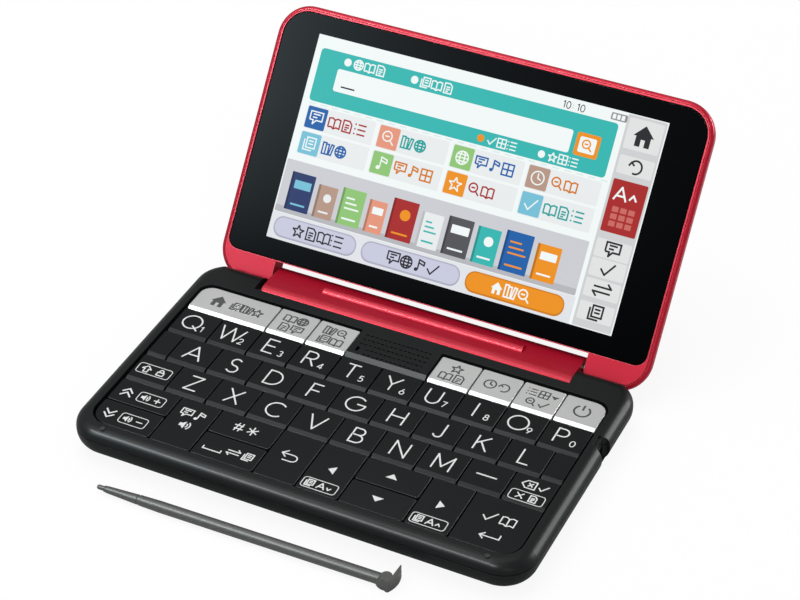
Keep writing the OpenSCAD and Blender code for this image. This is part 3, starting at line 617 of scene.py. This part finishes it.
def key_finish(name, colour, rough):
    """Moulded key: fine grain, slight polish that varies in patches and is a little stronger on the edges, and a
    painted highlight that lightens the edges.
    """
    f = Finish(name, **{"Specular IOR Level": 0.03, "Coat Weight": 0.11, "Coat Roughness": 0.16})
    grain, cloud, edge = f.noise(0.22, 3), f.noise(6, 2), f.edge(0.2)
    body = f.mix(grain * 0.35, tone(colour, 0.9), tone(colour, 1.6))
    # Painted highlight: the edges are mixed towards a tone sixteen times lighter, standing in for the light lines that
    # real key edges catch.
    body = f.mix(edge * 0.9, body, tone(colour, 16.0))
    normal = f.bump(grain, 0.012, 0.4, f.soft_edge(0.12))
    return f.wear(colour=body, roughness=rough + cloud * 0.08 - edge * 0.06, normal=normal)


def silver_finish(name, colour):
    """Silver paint: pale body with fine metallic flakes that vary in shine."""
    f = Finish(name, **{"Specular IOR Level": 0.3})
    flake, cloud, edge = f.noise(0.12, 2), f.noise(7, 2), f.edge(0.25)
    body = f.mix(flake * 0.4, tone(colour, 0.92), tone(colour, 1.1))
    body = f.mix(edge * 0.4, body, tone(colour, 1.35))
    normal = f.bump(flake, 0.006, 0.4, f.soft_edge(0.12))
    return f.wear(colour=body, roughness=0.3 + cloud * 0.08, metallic=0.2 + flake * 0.15, normal=normal)


def red_finish(name, colour, coat, edge_highlight_share=0.2, edge_highlight_colour=(0.8, 0.06, 0.09)):
    """Red metallic lacquer: fine flakes under a thin clear coat, with a painted highlight along the edges, mixed in by
    the given share of the given paler colour.
    """
    f = Finish(name, **{"Specular IOR Level": 0.05, "Coat Roughness": 0.14, "Coat Weight": coat})
    flake, cloud, edge = f.noise(0.14, 2), f.noise(14, 2), f.edge(0.2)
    body = f.mix(flake * 0.5, tone(colour, 0.86), tone(colour, 1.2))
    # Painted highlight: the edges are mixed towards a paler colour, standing in for the light lines that the real edges
    # catch.
    body = f.mix(edge * edge_highlight_share, body, edge_highlight_colour)
    normal = f.bump(flake, 0.006, 0.3, f.soft_edge(0.15))
    return f.wear(colour=body, roughness=0.33 + cloud * 0.06, metallic=0.1 + flake * 0.1, normal=normal)


def print_finish(name, colour):
    """Screen-printed ink: slightly uneven in tone and sheen."""
    f = Finish(name)
    cloud, speck = f.noise(1.6, 2), f.noise(0.1, 2)
    body = f.mix(cloud * 0.4 + speck * 0.3, tone(colour, 0.92), tone(colour, 1.08))
    return f.wear(colour=body, roughness=0.42 + cloud * 0.1)


def plain_finish(name, colour, rough, metallic=0.0, size_mm=0.4, depth=0.01, gloss=0.2):
    """Plain moulded or machined part: grain in tone, roughness and relief."""
    f = Finish(name, Metallic=metallic, **{"Specular IOR Level": gloss})
    grain, cloud = f.noise(size_mm, 3), f.noise(size_mm * 12, 2)
    body = f.mix(grain * 0.6 + cloud * 0.3, tone(colour, 0.8), tone(colour, 1.25))
    return f.wear(colour=body, roughness=rough + cloud * 0.1, normal=f.bump(grain, depth, 0.5, f.soft_edge(0.1)))


def steel_finish(name):
    """Turned steel: fine rings round the hinge axis."""
    f = Finish(name, Metallic=1.0)
    where = f.vector("MULTIPLY", f.place(), (6.0, 1.0, 1.0))
    ring = f.noise(1.2, 3, where)
    body = f.mix(ring, (0.42, 0.43, 0.45), (0.68, 0.69, 0.7))
    return f.wear(colour=body, roughness=0.28 + ring * 0.14, normal=f.bump(ring, 0.004, 0.5))


def board_finish(name):
    """Solder mask with copper tracks a shade lighter, in distorted diagonal bands."""
    f = Finish(name)
    wave = f.field("ShaderNodeTexWave", "Fac", {"wave_type": "BANDS", "bands_direction": "DIAGONAL"},
                   {"Vector": f.place(), "Scale": 180.0, "Distortion": 6.0, "Detail": 2.0, "Detail Scale": 0.6})
    track = f.clamp((wave - 0.6) * 8)
    body = f.mix(track, (0.008, 0.07, 0.03), (0.02, 0.16, 0.06))
    return f.wear(colour=body, roughness=0.35 + track * 0.1, normal=f.bump(track, 0.03, 0.6))


def glass_finish(name):
    """Black glass: print behind a polished plate, with the faintest unevenness."""
    f = Finish(name, **{"Specular IOR Level": 0.015})
    cloud, dust = f.noise(26, 2), f.noise(0.5, 2)
    body = f.mix(cloud, (0.0012, 0.0012, 0.0015), (0.0021, 0.0022, 0.0026))
    return f.wear(colour=body, roughness=0.045 + dust * 0.03, normal=f.bump(cloud, 0.01, 0.05, f.soft_edge(0.1)))


def picture_finish(name, glow):
    """Lit display: the colour attribute glows, dimmed a little by a fine noise, under gloss."""
    f = Finish(name, **{"Specular IOR Level": 0.012, "Emission Strength": glow})
    colour = f.field("ShaderNodeVertexColor", "Color", {"layer_name": "picture"})
    fine = f.noise(0.3, 1)
    lit = f.mix(fine * 0.05, colour, (0.0, 0.0, 0.0))
    return f.wear(colour=(0.004, 0.004, 0.004), emission=lit, roughness=0.08 + fine * 0.03)


# ---------------------------------------------------------------- operators


def settings():
    """The four groups of properties on the scene."""
    scene = bpy.context.scene
    return scene.dictionary_keys, scene.dictionary_screen, scene.dictionary_colours, scene.dictionary_studio


def show_finish(node, material):
    """Puts a material in every slot of a CAD node's object."""
    piece = frame["nodes"][node]
    for slot in piece.material_slots:
        slot.link = "OBJECT"
        slot.material = bpy.data.materials[material]


class DICTIONARY_OT_finishes(bpy.types.Operator):
    """Makes the materials and puts them on the CAD nodes that stay as they are"""

    bl_idname = "dictionary.finishes"
    bl_label = "Finishes"

    def execute(self, context):
        _, screen, colours, _ = settings()
        case_finish("charcoal_plastic", colours.charcoal)
        key_finish("black_key_plastic", colours.key_black, 0.42)
        silver_finish("silver_key_paint", colours.key_silver)
        red_finish("red_lacquer", colours.red, 0.08)
        # The frame's lacquer carries a strong pale pink painted highlight along its edges, for the bright line round
        # the glass.
        red_finish("red_frame_lacquer", colours.red, 0.08, 0.55, (0.70, 0.29, 0.31))
        red_finish("red_link_lacquer", colours.red_link, 0.1)
        print_finish("light_print", colours.light_print)
        print_finish("dark_print", colours.dark_print)
        plain_finish("foot_rubber", (0.012, 0.012, 0.012), 0.7, 0.0, 0.3, 0.02)
        plain_finish("battery_foil", (0.42, 0.43, 0.45), 0.35, 0.9, 0.8, 0.01)
        plain_finish("display_back", (0.6, 0.61, 0.62), 0.4, 0.6, 0.5, 0.01)
        plain_finish("pen_plastic", colours.pen, 0.34, 0.0, 0.16, 0.006, 0.18)
        steel_finish("hinge_steel_turned")
        board_finish("solder_mask")
        glass_finish("black_glass_plate")
        picture_finish("lit_picture", screen.glow)
        for node, material in (("base_top_cover", "charcoal_plastic"), ("base_bottom_cover", "charcoal_plastic"),
                               ("rubber_feet", "foot_rubber"), ("main_board", "solder_mask"),
                               ("battery_pack", "battery_foil"), ("base_hinges_and_screws", "hinge_steel_turned"),
                               ("lid_hinges", "hinge_steel_turned"), ("hinge_link", "red_link_lacquer"),
                               ("lid_rear_cover", "red_lacquer"), ("lid_front_frame", "red_frame_lacquer"),
                               ("lcd_panel", "display_back"), ("pen", "pen_plastic")):
            show_finish(node, material)
        return {"FINISHED"}


def key_corners(name, usual):
    """Corner radii of a key in plan, larger where the block of keys has its own round corner."""
    radii = [usual] * 4
    radii[{"page_down": 0, "enter": 1, "power": 2, "home": 3}.get(name, 0)] = {
        "page_down": 5.75, "enter": 5.75, "power": 4.15, "home": 4.15}.get(name, usual)
    return radii


# Marks of each key, parted by bars: the mark, its place from the key's middle, its height and, where it isn't
# the fine one, its stroke's name. Then the frames round some of them: place from the middle, width and depth.
KEY_MARKS = {
    "home": "home -6 .5 5.4|pages .5 .4 3.5|shelf 4.4 .4 3.5|star 8.2 .4 3.5",
    "book_a": "book -2.15 2.5 3.6|globe 2.25 2.5 3.6|page -2.15 -2.1 3.6|bubble 2.25 -2.1 3.6",
    "book_b": "shelf -2.15 2.5 3.6|lens 2.25 2.5 3.6|pages -2.15 -2.1 3.6|book 2.25 -2.1 3.6",
    "book_c": "star -.1 2.5 3.7|book -2.2 -2 3.6|page 2.3 -2 3.6",
    "recent": "clock -2.2 .4 3.8|turn_back 2.4 .4 3.8",
    "list": "list -3.1 2.6 3.1|grid .9 2.6 3.1|down 4.4 2.5 1.5|lens -1.8 -1.9 3.3|tick 2.3 -1.9 3.1",
    "power": "power 0 .6 5 stroke",
    "shift": "shift -2.6 0 3|lock 2.4 0 2.7",
    "dash": "dash -.2 .4 6.6 stroke",
    "delete": "erase -1.5 2.3 3.2|tick 3.1 2.3 2.9|cross -2.2 -3.1 2.2|page 2 -3.1 2.7",
    "page_up": "up_mark -5.8 -.4 3.6 stroke|speaker .6 -.4 2.9|plus 4.7 -.4 2.8",
    "page_down": "down_mark -5.8 -.4 3.6 stroke|speaker .6 -.4 2.9|minus 4.7 -.4 2.8",
    "voice": "bubble -2.2 4.4 3.6|note 2.3 4.4 3.6|speaker 0 -.8 3.7",
    "symbol": "hash -2.4 0 3.7|asterisk 2.4 0 3.7",
    "space": "blank_bar -4.9 -.5 2.8|swap 1.7 0 3.2|pages 6.6 0 3.1",
    "back": "back 0 .3 4.6",
    "left": "left -.2 .4 3.4|pages -3.5 -7.3 2.7|letter_small .9 -7.3 2.5",
    "right": "right .2 .4 3.4|pages -3.5 -7.3 2.7|letter_large .9 -7.3 2.5",
    "up": "up -.3 .1 2.1",
    "down": "down -.3 .1 2.1",
    "enter": "tick -2.9 2.4 4.2|book 2.9 2.4 4|enter .4 -3.5 6",
}
KEY_FRAMES = {
    "shift": (0.0, 0.0, 11.4, 4.5),
    "delete": (0.0, -3.1, 10.8, 4.2),
    "page_up": (2.6, -0.4, 9.0, 4.4),
    "page_down": (2.6, -0.4, 9.0, 4.4),
    "left": (-0.3, -7.3, 11.2, 4.2),
    "right": (-0.3, -7.3, 11.2, 4.2),
}


def key_legend(name, keys):
    """Marks of a key: (mark, x, y, height, stroke's name) from its middle, and frames (x, y, width, depth)."""
    digits = dict(zip(LETTER_ROWS[0], "1234567890"))
    if name in digits:
        return [(name, -1.25, 0.5, keys.letter, "stroke"), (digits[name], 3.1, -1.6, keys.digit, "digit")], []
    if len(name) == 1:
        return [(name, 0.0, 0.1, keys.letter, "stroke")], []
    marks = []
    for text in KEY_MARKS[name].split("|"):
        mark, x, y, height, *stroke = text.split()
        marks.append((mark, float(x), float(y), float(height), stroke[0] if stroke else "fine"))
    return marks, [KEY_FRAMES[name]] if name in KEY_FRAMES else []


def key_cap(keys, low, high, name, top, sloped):
    """Key cap: its outline, drawn in along a quarter circle at the upper edge, and dropped in front of its crease."""
    crease = low[1] + keys.slope
    splits = (crease,) if sloped else ()
    outline = rounded_outline(low[0], low[1], high[0], high[1], key_corners(name, keys.corner), 5, splits)
    drop = (lambda x, y: -keys.slope_drop * np.clip((crease - y) / keys.slope, 0, 1)) if sloped else None
    turn = np.radians(np.linspace(0, 90, 5))
    r = keys.edge_round
    levels = [(0.0, top - keys.cap), *((r * (1 - math.cos(a)), top - r + r * math.sin(a)) for a in turn)]
    return plate(Solid(), outline, levels, drop, splits)


class DICTIONARY_OT_keycaps(bpy.types.Operator):
    """Builds each key's cap, with its rounded edges, sloped front and printed marks, over its CAD node"""

    bl_idname = "dictionary.keycaps"
    bl_label = "Key caps"

    def execute(self, context):
        keys, _, _, _ = settings()
        black_widths = {"stroke": keys.stroke, "fine": keys.fine_stroke, "digit": keys.digit_stroke}
        silver_widths = {"stroke": keys.silver_stroke * SILVER_SHARE, "fine": keys.silver_stroke}
        for node in [n for n in frame["nodes"] if n.startswith("key_")]:
            name = node[4:]
            low, high = low_high(node)
            top = high[2]
            silver = name in SILVER_KEYS
            widths = silver_widths if silver else black_widths
            solid = key_cap(keys, low, high, name, top, len(name) == 1 or silver or name in ("shift", "dash", "delete"))
            mx, my = (low[0] + high[0]) / 2, (low[1] + high[1]) / 2
            marks, frames = key_legend(name, keys)
            for mark, x, y, height, stroke in marks:
                print_mark(solid, mark, mx + x, my + y, height, widths[stroke], top - SUNK, top + keys.ink, slot=1)
            for x, y, w, h in frames:
                print_box(solid, mx + x, my + y, w, h, keys.frame_corner, keys.fine_stroke * FRAME_SHARE,
                          top - SUNK, top + keys.ink, slot=1)
            piece = write_mesh("cap_" + name, solid, None, ("silver_key_paint" if silver else "black_key_plastic",
                                                            "dark_print" if silver else "light_print"))
            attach(piece, node + "_body")
            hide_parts(node)
        return {"FINISHED"}


class DICTIONARY_OT_blank_keys(bpy.types.Operator):
    """Builds the skins of the two fixed half keys at the ends of the middle letter row"""

    bl_idname = "dictionary.blank_keys"
    bl_label = "Blank half keys"

    def execute(self, context):
        keys, _, _, _ = settings()
        skin, gap = np.array([0.03, 0.03, 0.0]), low_high("key_s")[0][0] - low_high("key_a")[1][0]
        for side, end, near in (("left", "key_q", "key_a"), ("right", "key_p", "key_l")):
            (end_low, end_high), (near_low, near_high) = low_high(end), low_high(near)
            low = np.array([end_low[0] if side == "left" else near_high[0] + gap, near_low[1], near_low[2]])
            high = np.array([near_low[0] - gap if side == "left" else end_high[0], near_high[1], near_high[2]])
            solid = key_cap(keys, low - skin, high + skin, "blank", high[2] + 0.02, True)
            piece = write_mesh("blank_key_" + side, solid, None, ("black_key_plastic",))
            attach(piece, "base")
        return {"FINISHED"}


class DICTIONARY_OT_glass(bpy.types.Operator):
    """Builds the glass plate with its rounded edge over its CAD node"""

    bl_idname = "dictionary.glass"
    bl_label = "Glass"

    def execute(self, context):
        outline = rounded_outline(*GLASS, GLASS_CORNERS, 10)
        turn = np.radians(np.linspace(0, 90, 5))
        r = GLASS_ROUND
        levels = [(0.0, GLASS_Z), *((r * (1 - math.cos(t)), SCREEN_Z - r + r * math.sin(t)) for t in turn)]
        piece = write_mesh("glass_plate", plate(Solid(), outline, levels), on_lid, ("black_glass_plate",))
        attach(piece, "lid")
        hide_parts("display_glass")
        return {"FINISHED"}


WHITE, PAPER, TEAL, DEEP_TEAL = (0.93, 0.99, 0.98), (0.86, 0.89, 0.90), (0.045, 0.50, 0.47), (0.02, 0.38, 0.36)
ORANGE, DARK_ORANGE, SALMON, SKY = (0.90, 0.31, 0.02), (0.70, 0.20, 0.01), (0.83, 0.33, 0.22), (0.20, 0.56, 0.72)
BLUE, LEAF, BROWN, GREY = (0.02, 0.13, 0.42), (0.30, 0.60, 0.20), (0.50, 0.33, 0.26), (0.30, 0.30, 0.31)
BRICK, INK, NAVY = (0.42, 0.03, 0.03), (0.03, 0.03, 0.035), (0.03, 0.05, 0.16)
LILAC, BUTTON, DARK = (0.62, 0.63, 0.78), (0.80, 0.81, 0.81), (0.10, 0.10, 0.11)


class Picture:
    """The lit picture while its tiles are laid: each one lies a few thousandths above those before it."""

    def __init__(self, width, height, middle):
        self.solid, self.w, self.h, self.middle = Solid(), width, height, middle
        self.z = SCREEN_Z + 0.004

    def tile(self, x, y, w, h, colour, r=0.6):
        """Rounded rectangle from its lower left corner, measured from the picture's lower left corner."""
        self.z += TILE_LIFT
        x0, y0 = x - self.w / 2, y + self.middle - self.h / 2
        outline = rounded_outline(x0, y0, x0 + w, y0 + h, (max(r, 0.01),) * 4, 5)
        plate(self.solid, outline, [(0, SCREEN_Z - SUNK), (0, self.z)], colour=colour)

    def mark(self, sign, x, y, height, stroke, colour):
        """A mark with its middle at x, y."""
        self.z += TILE_LIFT
        print_mark(self.solid, sign, x - self.w / 2, y + self.middle - self.h / 2, height, stroke,
                   SCREEN_Z - SUNK, self.z, colour)

    def words(self, x, y, signs, height, colour, stroke=0.3, gap=1.25):
        """A line of marks from x on."""
        for k, sign in enumerate(signs):
            self.mark(sign, x + height / 2 + k * height * gap, y, height, stroke, colour)


class DICTIONARY_OT_picture(bpy.types.Operator):
    """Lays out the lit picture of the display: a search panel, tiles, a shelf of books, tabs and a side strip"""

    bl_idname = "dictionary.picture"
    bl_label = "Lit picture"

    def execute(self, context):
        _, screen, _, _ = settings()
        p = Picture(screen.picture_width, screen.picture_height, screen.picture_middle)
        w, h = p.w, p.h
        p.tile(0, 0, w, h, WHITE, 0.1)
        lay_search_panel(p)
        lay_tiles(p)
        lay_shelf(p)
        lay_tabs(p)
        lay_side_strip(p)
        piece = write_mesh("lit_display", p.solid, on_lid, ("lit_picture",), weighted=False)
        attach(piece, "lid")
        return {"FINISHED"}


def lay_search_panel(p):
    """Teal panel with a white field, an orange button and two rows of small choices, over a dashed line."""
    p.tile(2.2, 46.8, 104.0, 17.6, TEAL, 1.2)
    p.tile(9.5, 51.6, 83.0, 7.4, WHITE, 0.8)
    p.tile(94.0, 51.6, 8.0, 7.4, ORANGE, 0.8)
    p.tile(95.2, 52.8, 5.6, 5.0, WHITE, 0.6)
    p.mark("lens", 98.0, 55.3, 3.4, 0.5, ORANGE)
    for k, sign in enumerate(("globe", "pages")):
        p.tile(11.0 + 24 * k, 60.4, 2.6, 2.6, WHITE, 1.29)
        p.words(14.6 + 24 * k, 61.7, (sign, "book", "page"), 3.2, WHITE, 0.42)
    for k, sign in enumerate(("tick", "star")):
        p.tile(62.0 + 21 * k, 47.9, 2.4, 2.4, WHITE if k else ORANGE, 1.19)
        p.words(65.6 + 21 * k, 49.1, (sign, "grid", "list"), 2.8, WHITE, 0.4)
    p.tile(12.0, 53.2, 5.0, 0.5, INK, 0.1)
    for k in range(26):
        p.tile(2.6 + 4.1 * k, 45.9, 2.4, 0.35, (0.72, 0.86, 0.84), 0.1)
    p.words(86.0, 66.2, "10:10", 2.2, INK, 0.28, 0.72)
    p.tile(103.0, 65.2, 5.4, 2.3, GREY, 0.4)
    for k in range(3):
        p.tile(103.5 + 1.5 * k, 65.6, 1.1, 1.5, WHITE, 0.1)


def lay_tiles(p):
    """Two rows of pale tiles, each with a coloured square, a sign and a line of marks."""
    colours = ((BLUE, SALMON, LEAF, BROWN), (SKY, LEAF, ORANGE, SKY))
    signs = (("bubble", "lens", "globe", "clock"), ("pages", "note", "star", "tick"))
    words = (("book", "page", "list"), ("shelf", "globe"), ("bubble", "note", "grid"), ("lens", "book"))
    inks = (BRICK, DEEP_TEAL, BLUE, DARK_ORANGE)
    for row in range(2):
        for k in range(4):
            x, y = 2.6 + 26.2 * k, 37.6 - 8.6 * row
            p.tile(x, y, 24.8, 7.8, PAPER, 0.5)
            p.tile(x + 0.3, y + 0.3, 7.2, 7.2, colours[row][k], 0.5)
            p.mark(signs[row][k], x + 3.9, y + 3.9, 4.2, 0.42, WHITE)
            p.words(x + 8.7, y + 3.9, words[(k + row) % 4], 3.7, inks[(k + 2 * row) % 4], 0.52)


def lay_shelf(p):
    """Grey shelf with a row of book covers of several sizes and plain patterns."""
    p.tile(0.4, 9.0, 106.6, 17.6, (0.64, 0.65, 0.69), 0.4)
    p.tile(0.4, 9.0, 106.6, 2.2, (0.50, 0.51, 0.54), 0.4)
    books = ((8.6, 12.6, NAVY, SKY), (7.0, 10.8, BROWN, PAPER), (8.4, 12.0, LEAF, WHITE), (6.4, 10.6, SALMON, WHITE),
             (9.0, 13.2, BRICK, ORANGE), (7.6, 11.4, PAPER, TEAL), (8.8, 12.4, DARK, WHITE),
             (8.0, 11.8, TEAL, WHITE), (9.4, 13.0, BLUE, ORANGE), (8.2, 11.6, ORANGE, WHITE))
    x = 3.4
    for k, (w, h, cover, band_colour) in enumerate(books):
        p.tile(x, 10.4, w, h, cover, 0.25)
        p.tile(x, 10.4, 0.8, h, tone(cover, 0.6), 0.1)
        if k % 3 == 0:
            p.tile(x + 1.6, 10.4 + h * 0.58, w - 2.6, h * 0.22, band_colour, 0.2)
        elif k % 3 == 1:
            p.tile(x + w * 0.36, 10.4 + h * 0.5, w * 0.4, w * 0.4, band_colour, w * 0.19)
        else:
            for n in range(3):
                p.tile(x + 1.8, 10.4 + h * (0.44 + 0.14 * n), w - 3.2 - 1.1 * n, 0.55, band_colour, 0.1)
        p.tile(x + 1.8, 12.2, w - 3.4, 0.6, band_colour, 0.1)
        x += w + 1.6


def lay_tabs(p):
    """Bar of three tabs at the bottom, the last one lit."""
    p.tile(0.0, 0.0, 107.4, 8.8, (0.80, 0.82, 0.86), 0.2)
    tabs = ((1.6, 30.0, LILAC, INK, ("star", "page", "book", "list")),
            (33.6, 35.0, LILAC, INK, ("bubble", "globe", "note", "tick")),
            (70.6, 34.0, ORANGE, WHITE, ("home", "shelf", "lens")))
    for x, w, colour, ink, signs in tabs:
        p.tile(x, 0.9, w, 7.0, tone(colour, 0.72), 3.2)
        p.tile(x + 0.4, 1.5, w - 0.8, 6.0, colour, 2.9)
        p.words(x + w / 2 - 8.0, 4.5, signs, 3.9, ink, 0.5, 1.2)


def lay_side_strip(p):
    """Strip of side buttons: a red block and a column of dark signs."""
    p.tile(108.4, 0.3, 13.0, 67.9, (0.66, 0.67, 0.68), 0.3)
    p.tile(109.2, 57.6, 11.6, 9.8, BUTTON, 0.5)
    p.mark("home", 115.0, 62.4, 6.8, 0.5, INK)
    p.tile(109.2, 31.0, 11.6, 16.8, BRICK, 0.5)
    p.mark("letter_large", 113.8, 43.4, 4.2, 0.6, WHITE)
    for n in range(3):
        for k in range(3):
            p.tile(111.2 + 2.7 * k, 33.0 + 2.3 * n, 2.1, 1.7, (0.62, 0.16, 0.14), 0.2)
    for y, sign in ((52.6, "turn_back"), (25.8, "bubble"), (19.6, "tick"), (13.0, "swap"), (5.6, "pages")):
        p.tile(109.2, y - 2.9, 11.6, 5.8, BUTTON, 0.5)
        p.mark(sign, 115.0, y, 4.5, 0.62, INK)


# Lamps that only gloss sees: name, place and target in metres, width, depth and share of the edge shine
GLOSS_STRIPS = (
    ("strip_above", (-0.41, -0.66, 0.96), (0.0, -0.07, 0.01), 1.0, 0.05, 1.0),
    ("strip_beside", (0.85, 0.90, 0.36), (0.076, -0.02, 0.01), 0.5, 0.75, 0.09),
    ("panel_above_keys", (-0.39, -0.11, 1.08), (0.0, -0.03, 0.01), 0.45, 0.28, 0.036),
)


class DICTIONARY_OT_studio(bpy.types.Operator):
    """Sets the pale floor, the soft lights, the plain surround and the camera"""

    bl_idname = "dictionary.studio"
    bl_label = "Studio"

    def execute(self, context):
        _, _, _, studio = settings()
        scene = context.scene
        scene.view_settings.view_transform = "Standard"
        lay_floor(studio)
        set_world(scene, studio)
        above, front = studio.key_light * 10, studio.fill_light * 10
        area_light("light_above", (-0.25, 0.15, 1.0), (0.0, 0.0, 0.02), 0.9, 0.9, above)
        area_light("light_front", (0.75, -0.9, 0.55), (0.0, 0.0, 0.03), 0.5, 0.5, front)
        for name, place, target, width, depth, share in GLOSS_STRIPS:
            gloss_strip(name, place, target, width, depth, studio.edge_shine * share)
        lay_glass_card(studio)
        lens = bpy.data.cameras.new("photo_camera")
        lens.lens, lens.sensor_width, lens.clip_start, lens.clip_end = studio.lens, 36.0, 0.01, 20.0
        camera = bpy.data.objects.new("photo_camera", lens)
        scene.collection.objects.link(camera)
        turn = Vector(CAMERA_AIM).to_track_quat("-Z", "Y").to_matrix()
        turn = turn @ Matrix.Rotation(math.radians(CAMERA_ROLL), 3, "Z")
        camera.matrix_world = Matrix.Translation(CAMERA_PLACE) @ turn.to_4x4()
        scene.camera = camera
        return {"FINISHED"}


def area_light(name, place, target, width, depth, power):
    """Soft square light at a place, turned to a target, both in metres."""
    lamp = bpy.data.lights.new(name, "AREA")
    lamp.shape, lamp.size, lamp.size_y, lamp.energy = "RECTANGLE", width, depth, power
    light = bpy.data.objects.new(name, lamp)
    bpy.context.scene.collection.objects.link(light)
    away = Vector(target) - Vector(place)
    light.visible_camera = False
    light.matrix_world = Matrix.Translation(place) @ away.to_track_quat("-Z", "Y").to_matrix().to_4x4()
    return light


def gloss_strip(name, place, target, width, depth, brightness):
    """Lamp that shows only in gloss, for the light lines along rounded edges.

    Its power is its brightness times pi times its area.
    """
    light = area_light(name, place, target, width, depth, brightness * math.pi * width * depth)
    light.visible_diffuse = False
    return light


def lay_glass_card(studio):
    """Card that only gloss sees: the glass mirrors it, blue-grey at its upper left, fading to its right and foot."""
    f = Finish("glass_card_paint")
    across = f.field("ShaderNodeVertexColor", "Color", {"layer_name": "picture"})
    glow = f.node("ShaderNodeEmission", None, {"Color": across, "Strength": studio.glass_shine})
    f.tree.links.new(glow.outputs[0], f.end.inputs["Surface"])
    u, w = np.meshgrid(np.linspace(-0.3, 1.0, 40), np.linspace(-0.3, 1.3, 24))
    fade = np.exp(-np.clip(u, 0, 1) / 0.33) * (0.25 + 0.75 * np.clip(w * 1.6, 0, 1) ** 0.8)
    eye = np.array(CARD_EYE)
    reach = CARD_AWAY / (eye[2] - SCREEN_Z)
    x0, y0, x1, y1 = GLASS
    x, y = x0 + u * (x1 - x0), y0 + w * (y1 - y0)
    flat = np.stack([x + (x - eye[0]) * reach, y + (y - eye[1]) * reach], -1).reshape(-1, 2)
    points = at_height(flat, SCREEN_Z + CARD_AWAY)
    solid = Solid().add(points, band(24, 40, wrap_columns=False)[:, ::-1])
    solid.colours.append(np.column_stack([np.outer(fade.ravel(), CARD_TINT), np.ones(fade.size)]))
    card = write_mesh("glass_card", solid, on_lid, ("glass_card_paint",), weighted=False)
    card.visible_camera = card.visible_diffuse = card.visible_shadow = card.visible_transmission = False


def lay_floor(studio):
    """Pale floor: what the camera sees of it is partly plain white, so its paper reads white and keeps the shadow."""
    f = Finish("pale_floor")
    grain = f.noise(2.0, 3)
    f.wear(colour=f.mix(grain, (0.90, 0.90, 0.90), (0.94, 0.94, 0.94)), roughness=0.8 + grain * 0.05)
    white = f.node("ShaderNodeEmission", None, {"Color": (1.0, 1.0, 1.0), "Strength": 1.0})
    seen = f.field("ShaderNodeLightPath", "Is Camera Ray")
    blend = f.node("ShaderNodeMixShader", None, {0: seen * studio.floor_white})
    f.tree.links.new(f.shader.outputs[0], blend.inputs[1])
    f.tree.links.new(white.outputs[0], blend.inputs[2])
    f.tree.links.new(blend.outputs[0], f.end.inputs["Surface"])
    half = FLOOR_HALF
    corners = [(-half, -half), (half, -half), (half, half), (-half, half)]
    solid = Solid().add(at_height(corners, FLOOR_Z), [(0, 1, 2, 3)])
    write_mesh("studio_floor", solid, None, ("pale_floor",), weighted=False)


def set_world(scene, studio):
    """Surround: white to the camera, to gloss and through glass, softer as a light."""
    world = bpy.data.worlds.new("studio_surround")
    scene.world = world
    world.use_nodes = True
    world.node_tree.nodes.clear()
    surround = Nodes(world.node_tree)
    end = surround.node("ShaderNodeOutputWorld")
    light, white = [surround.node("ShaderNodeBackground", None, {"Color": (1.0, 1.0, 1.0), "Strength": strength})
                    for strength in (studio.sky, 1.0)]
    path = surround.node("ShaderNodeLightPath")
    seen, through, gloss = [Field(surround, path.outputs[ray])
                            for ray in ("Is Camera Ray", "Is Transmission Ray", "Is Glossy Ray")]
    either = surround.math("MAXIMUM", surround.math("MAXIMUM", seen, through), gloss)
    blend = surround.node("ShaderNodeMixShader", None,
                          {0: either, 1: Field(surround, light.outputs[0]), 2: Field(surround, white.outputs[0])})
    surround.put(end.inputs["Surface"], Field(surround, blend.outputs[0]))


# ---------------------------------------------------------------- panel and registration


OPERATORS = (DICTIONARY_OT_finishes, DICTIONARY_OT_keycaps, DICTIONARY_OT_blank_keys, DICTIONARY_OT_glass,
             DICTIONARY_OT_picture, DICTIONARY_OT_studio)
GROUPS = (("dictionary_keys", KeySizes), ("dictionary_screen", ScreenSizes), ("dictionary_colours", CaseColours),
          ("dictionary_studio", StudioSettings))


class DICTIONARY_PT_panel(bpy.types.Panel):
    """Sidebar panel that lists the sizes, colours and steps"""

    bl_idname = "DICTIONARY_PT_panel"
    bl_label = "Dictionary"
    bl_space_type = "VIEW_3D"
    bl_region_type = "UI"
    bl_category = "Dictionary"

    def draw(self, context):
        for name, group in GROUPS:
            box = self.layout.box()
            for prop in group.__annotations__:
                box.prop(getattr(context.scene, name), prop)
        for operator in OPERATORS:
            self.layout.operator(operator.bl_idname)


def register():
    for name, group in GROUPS:
        bpy.utils.register_class(group)
        setattr(bpy.types.Scene, name, bpy.props.PointerProperty(type=group))
    for item in (*OPERATORS, DICTIONARY_PT_panel):
        bpy.utils.register_class(item)


def unregister():
    for item in reversed((*OPERATORS, DICTIONARY_PT_panel)):
        bpy.utils.unregister_class(item)
    for name, group in reversed(GROUPS):
        delattr(bpy.types.Scene, name)
        bpy.utils.unregister_class(group)


def main():
    register()
    bpy.ops.dictionary.finishes()
    bpy.ops.dictionary.keycaps()
    bpy.ops.dictionary.blank_keys()
    bpy.ops.dictionary.glass()
    bpy.ops.dictionary.picture()
    bpy.ops.dictionary.studio()


if __name__ == "__main__":
    main()
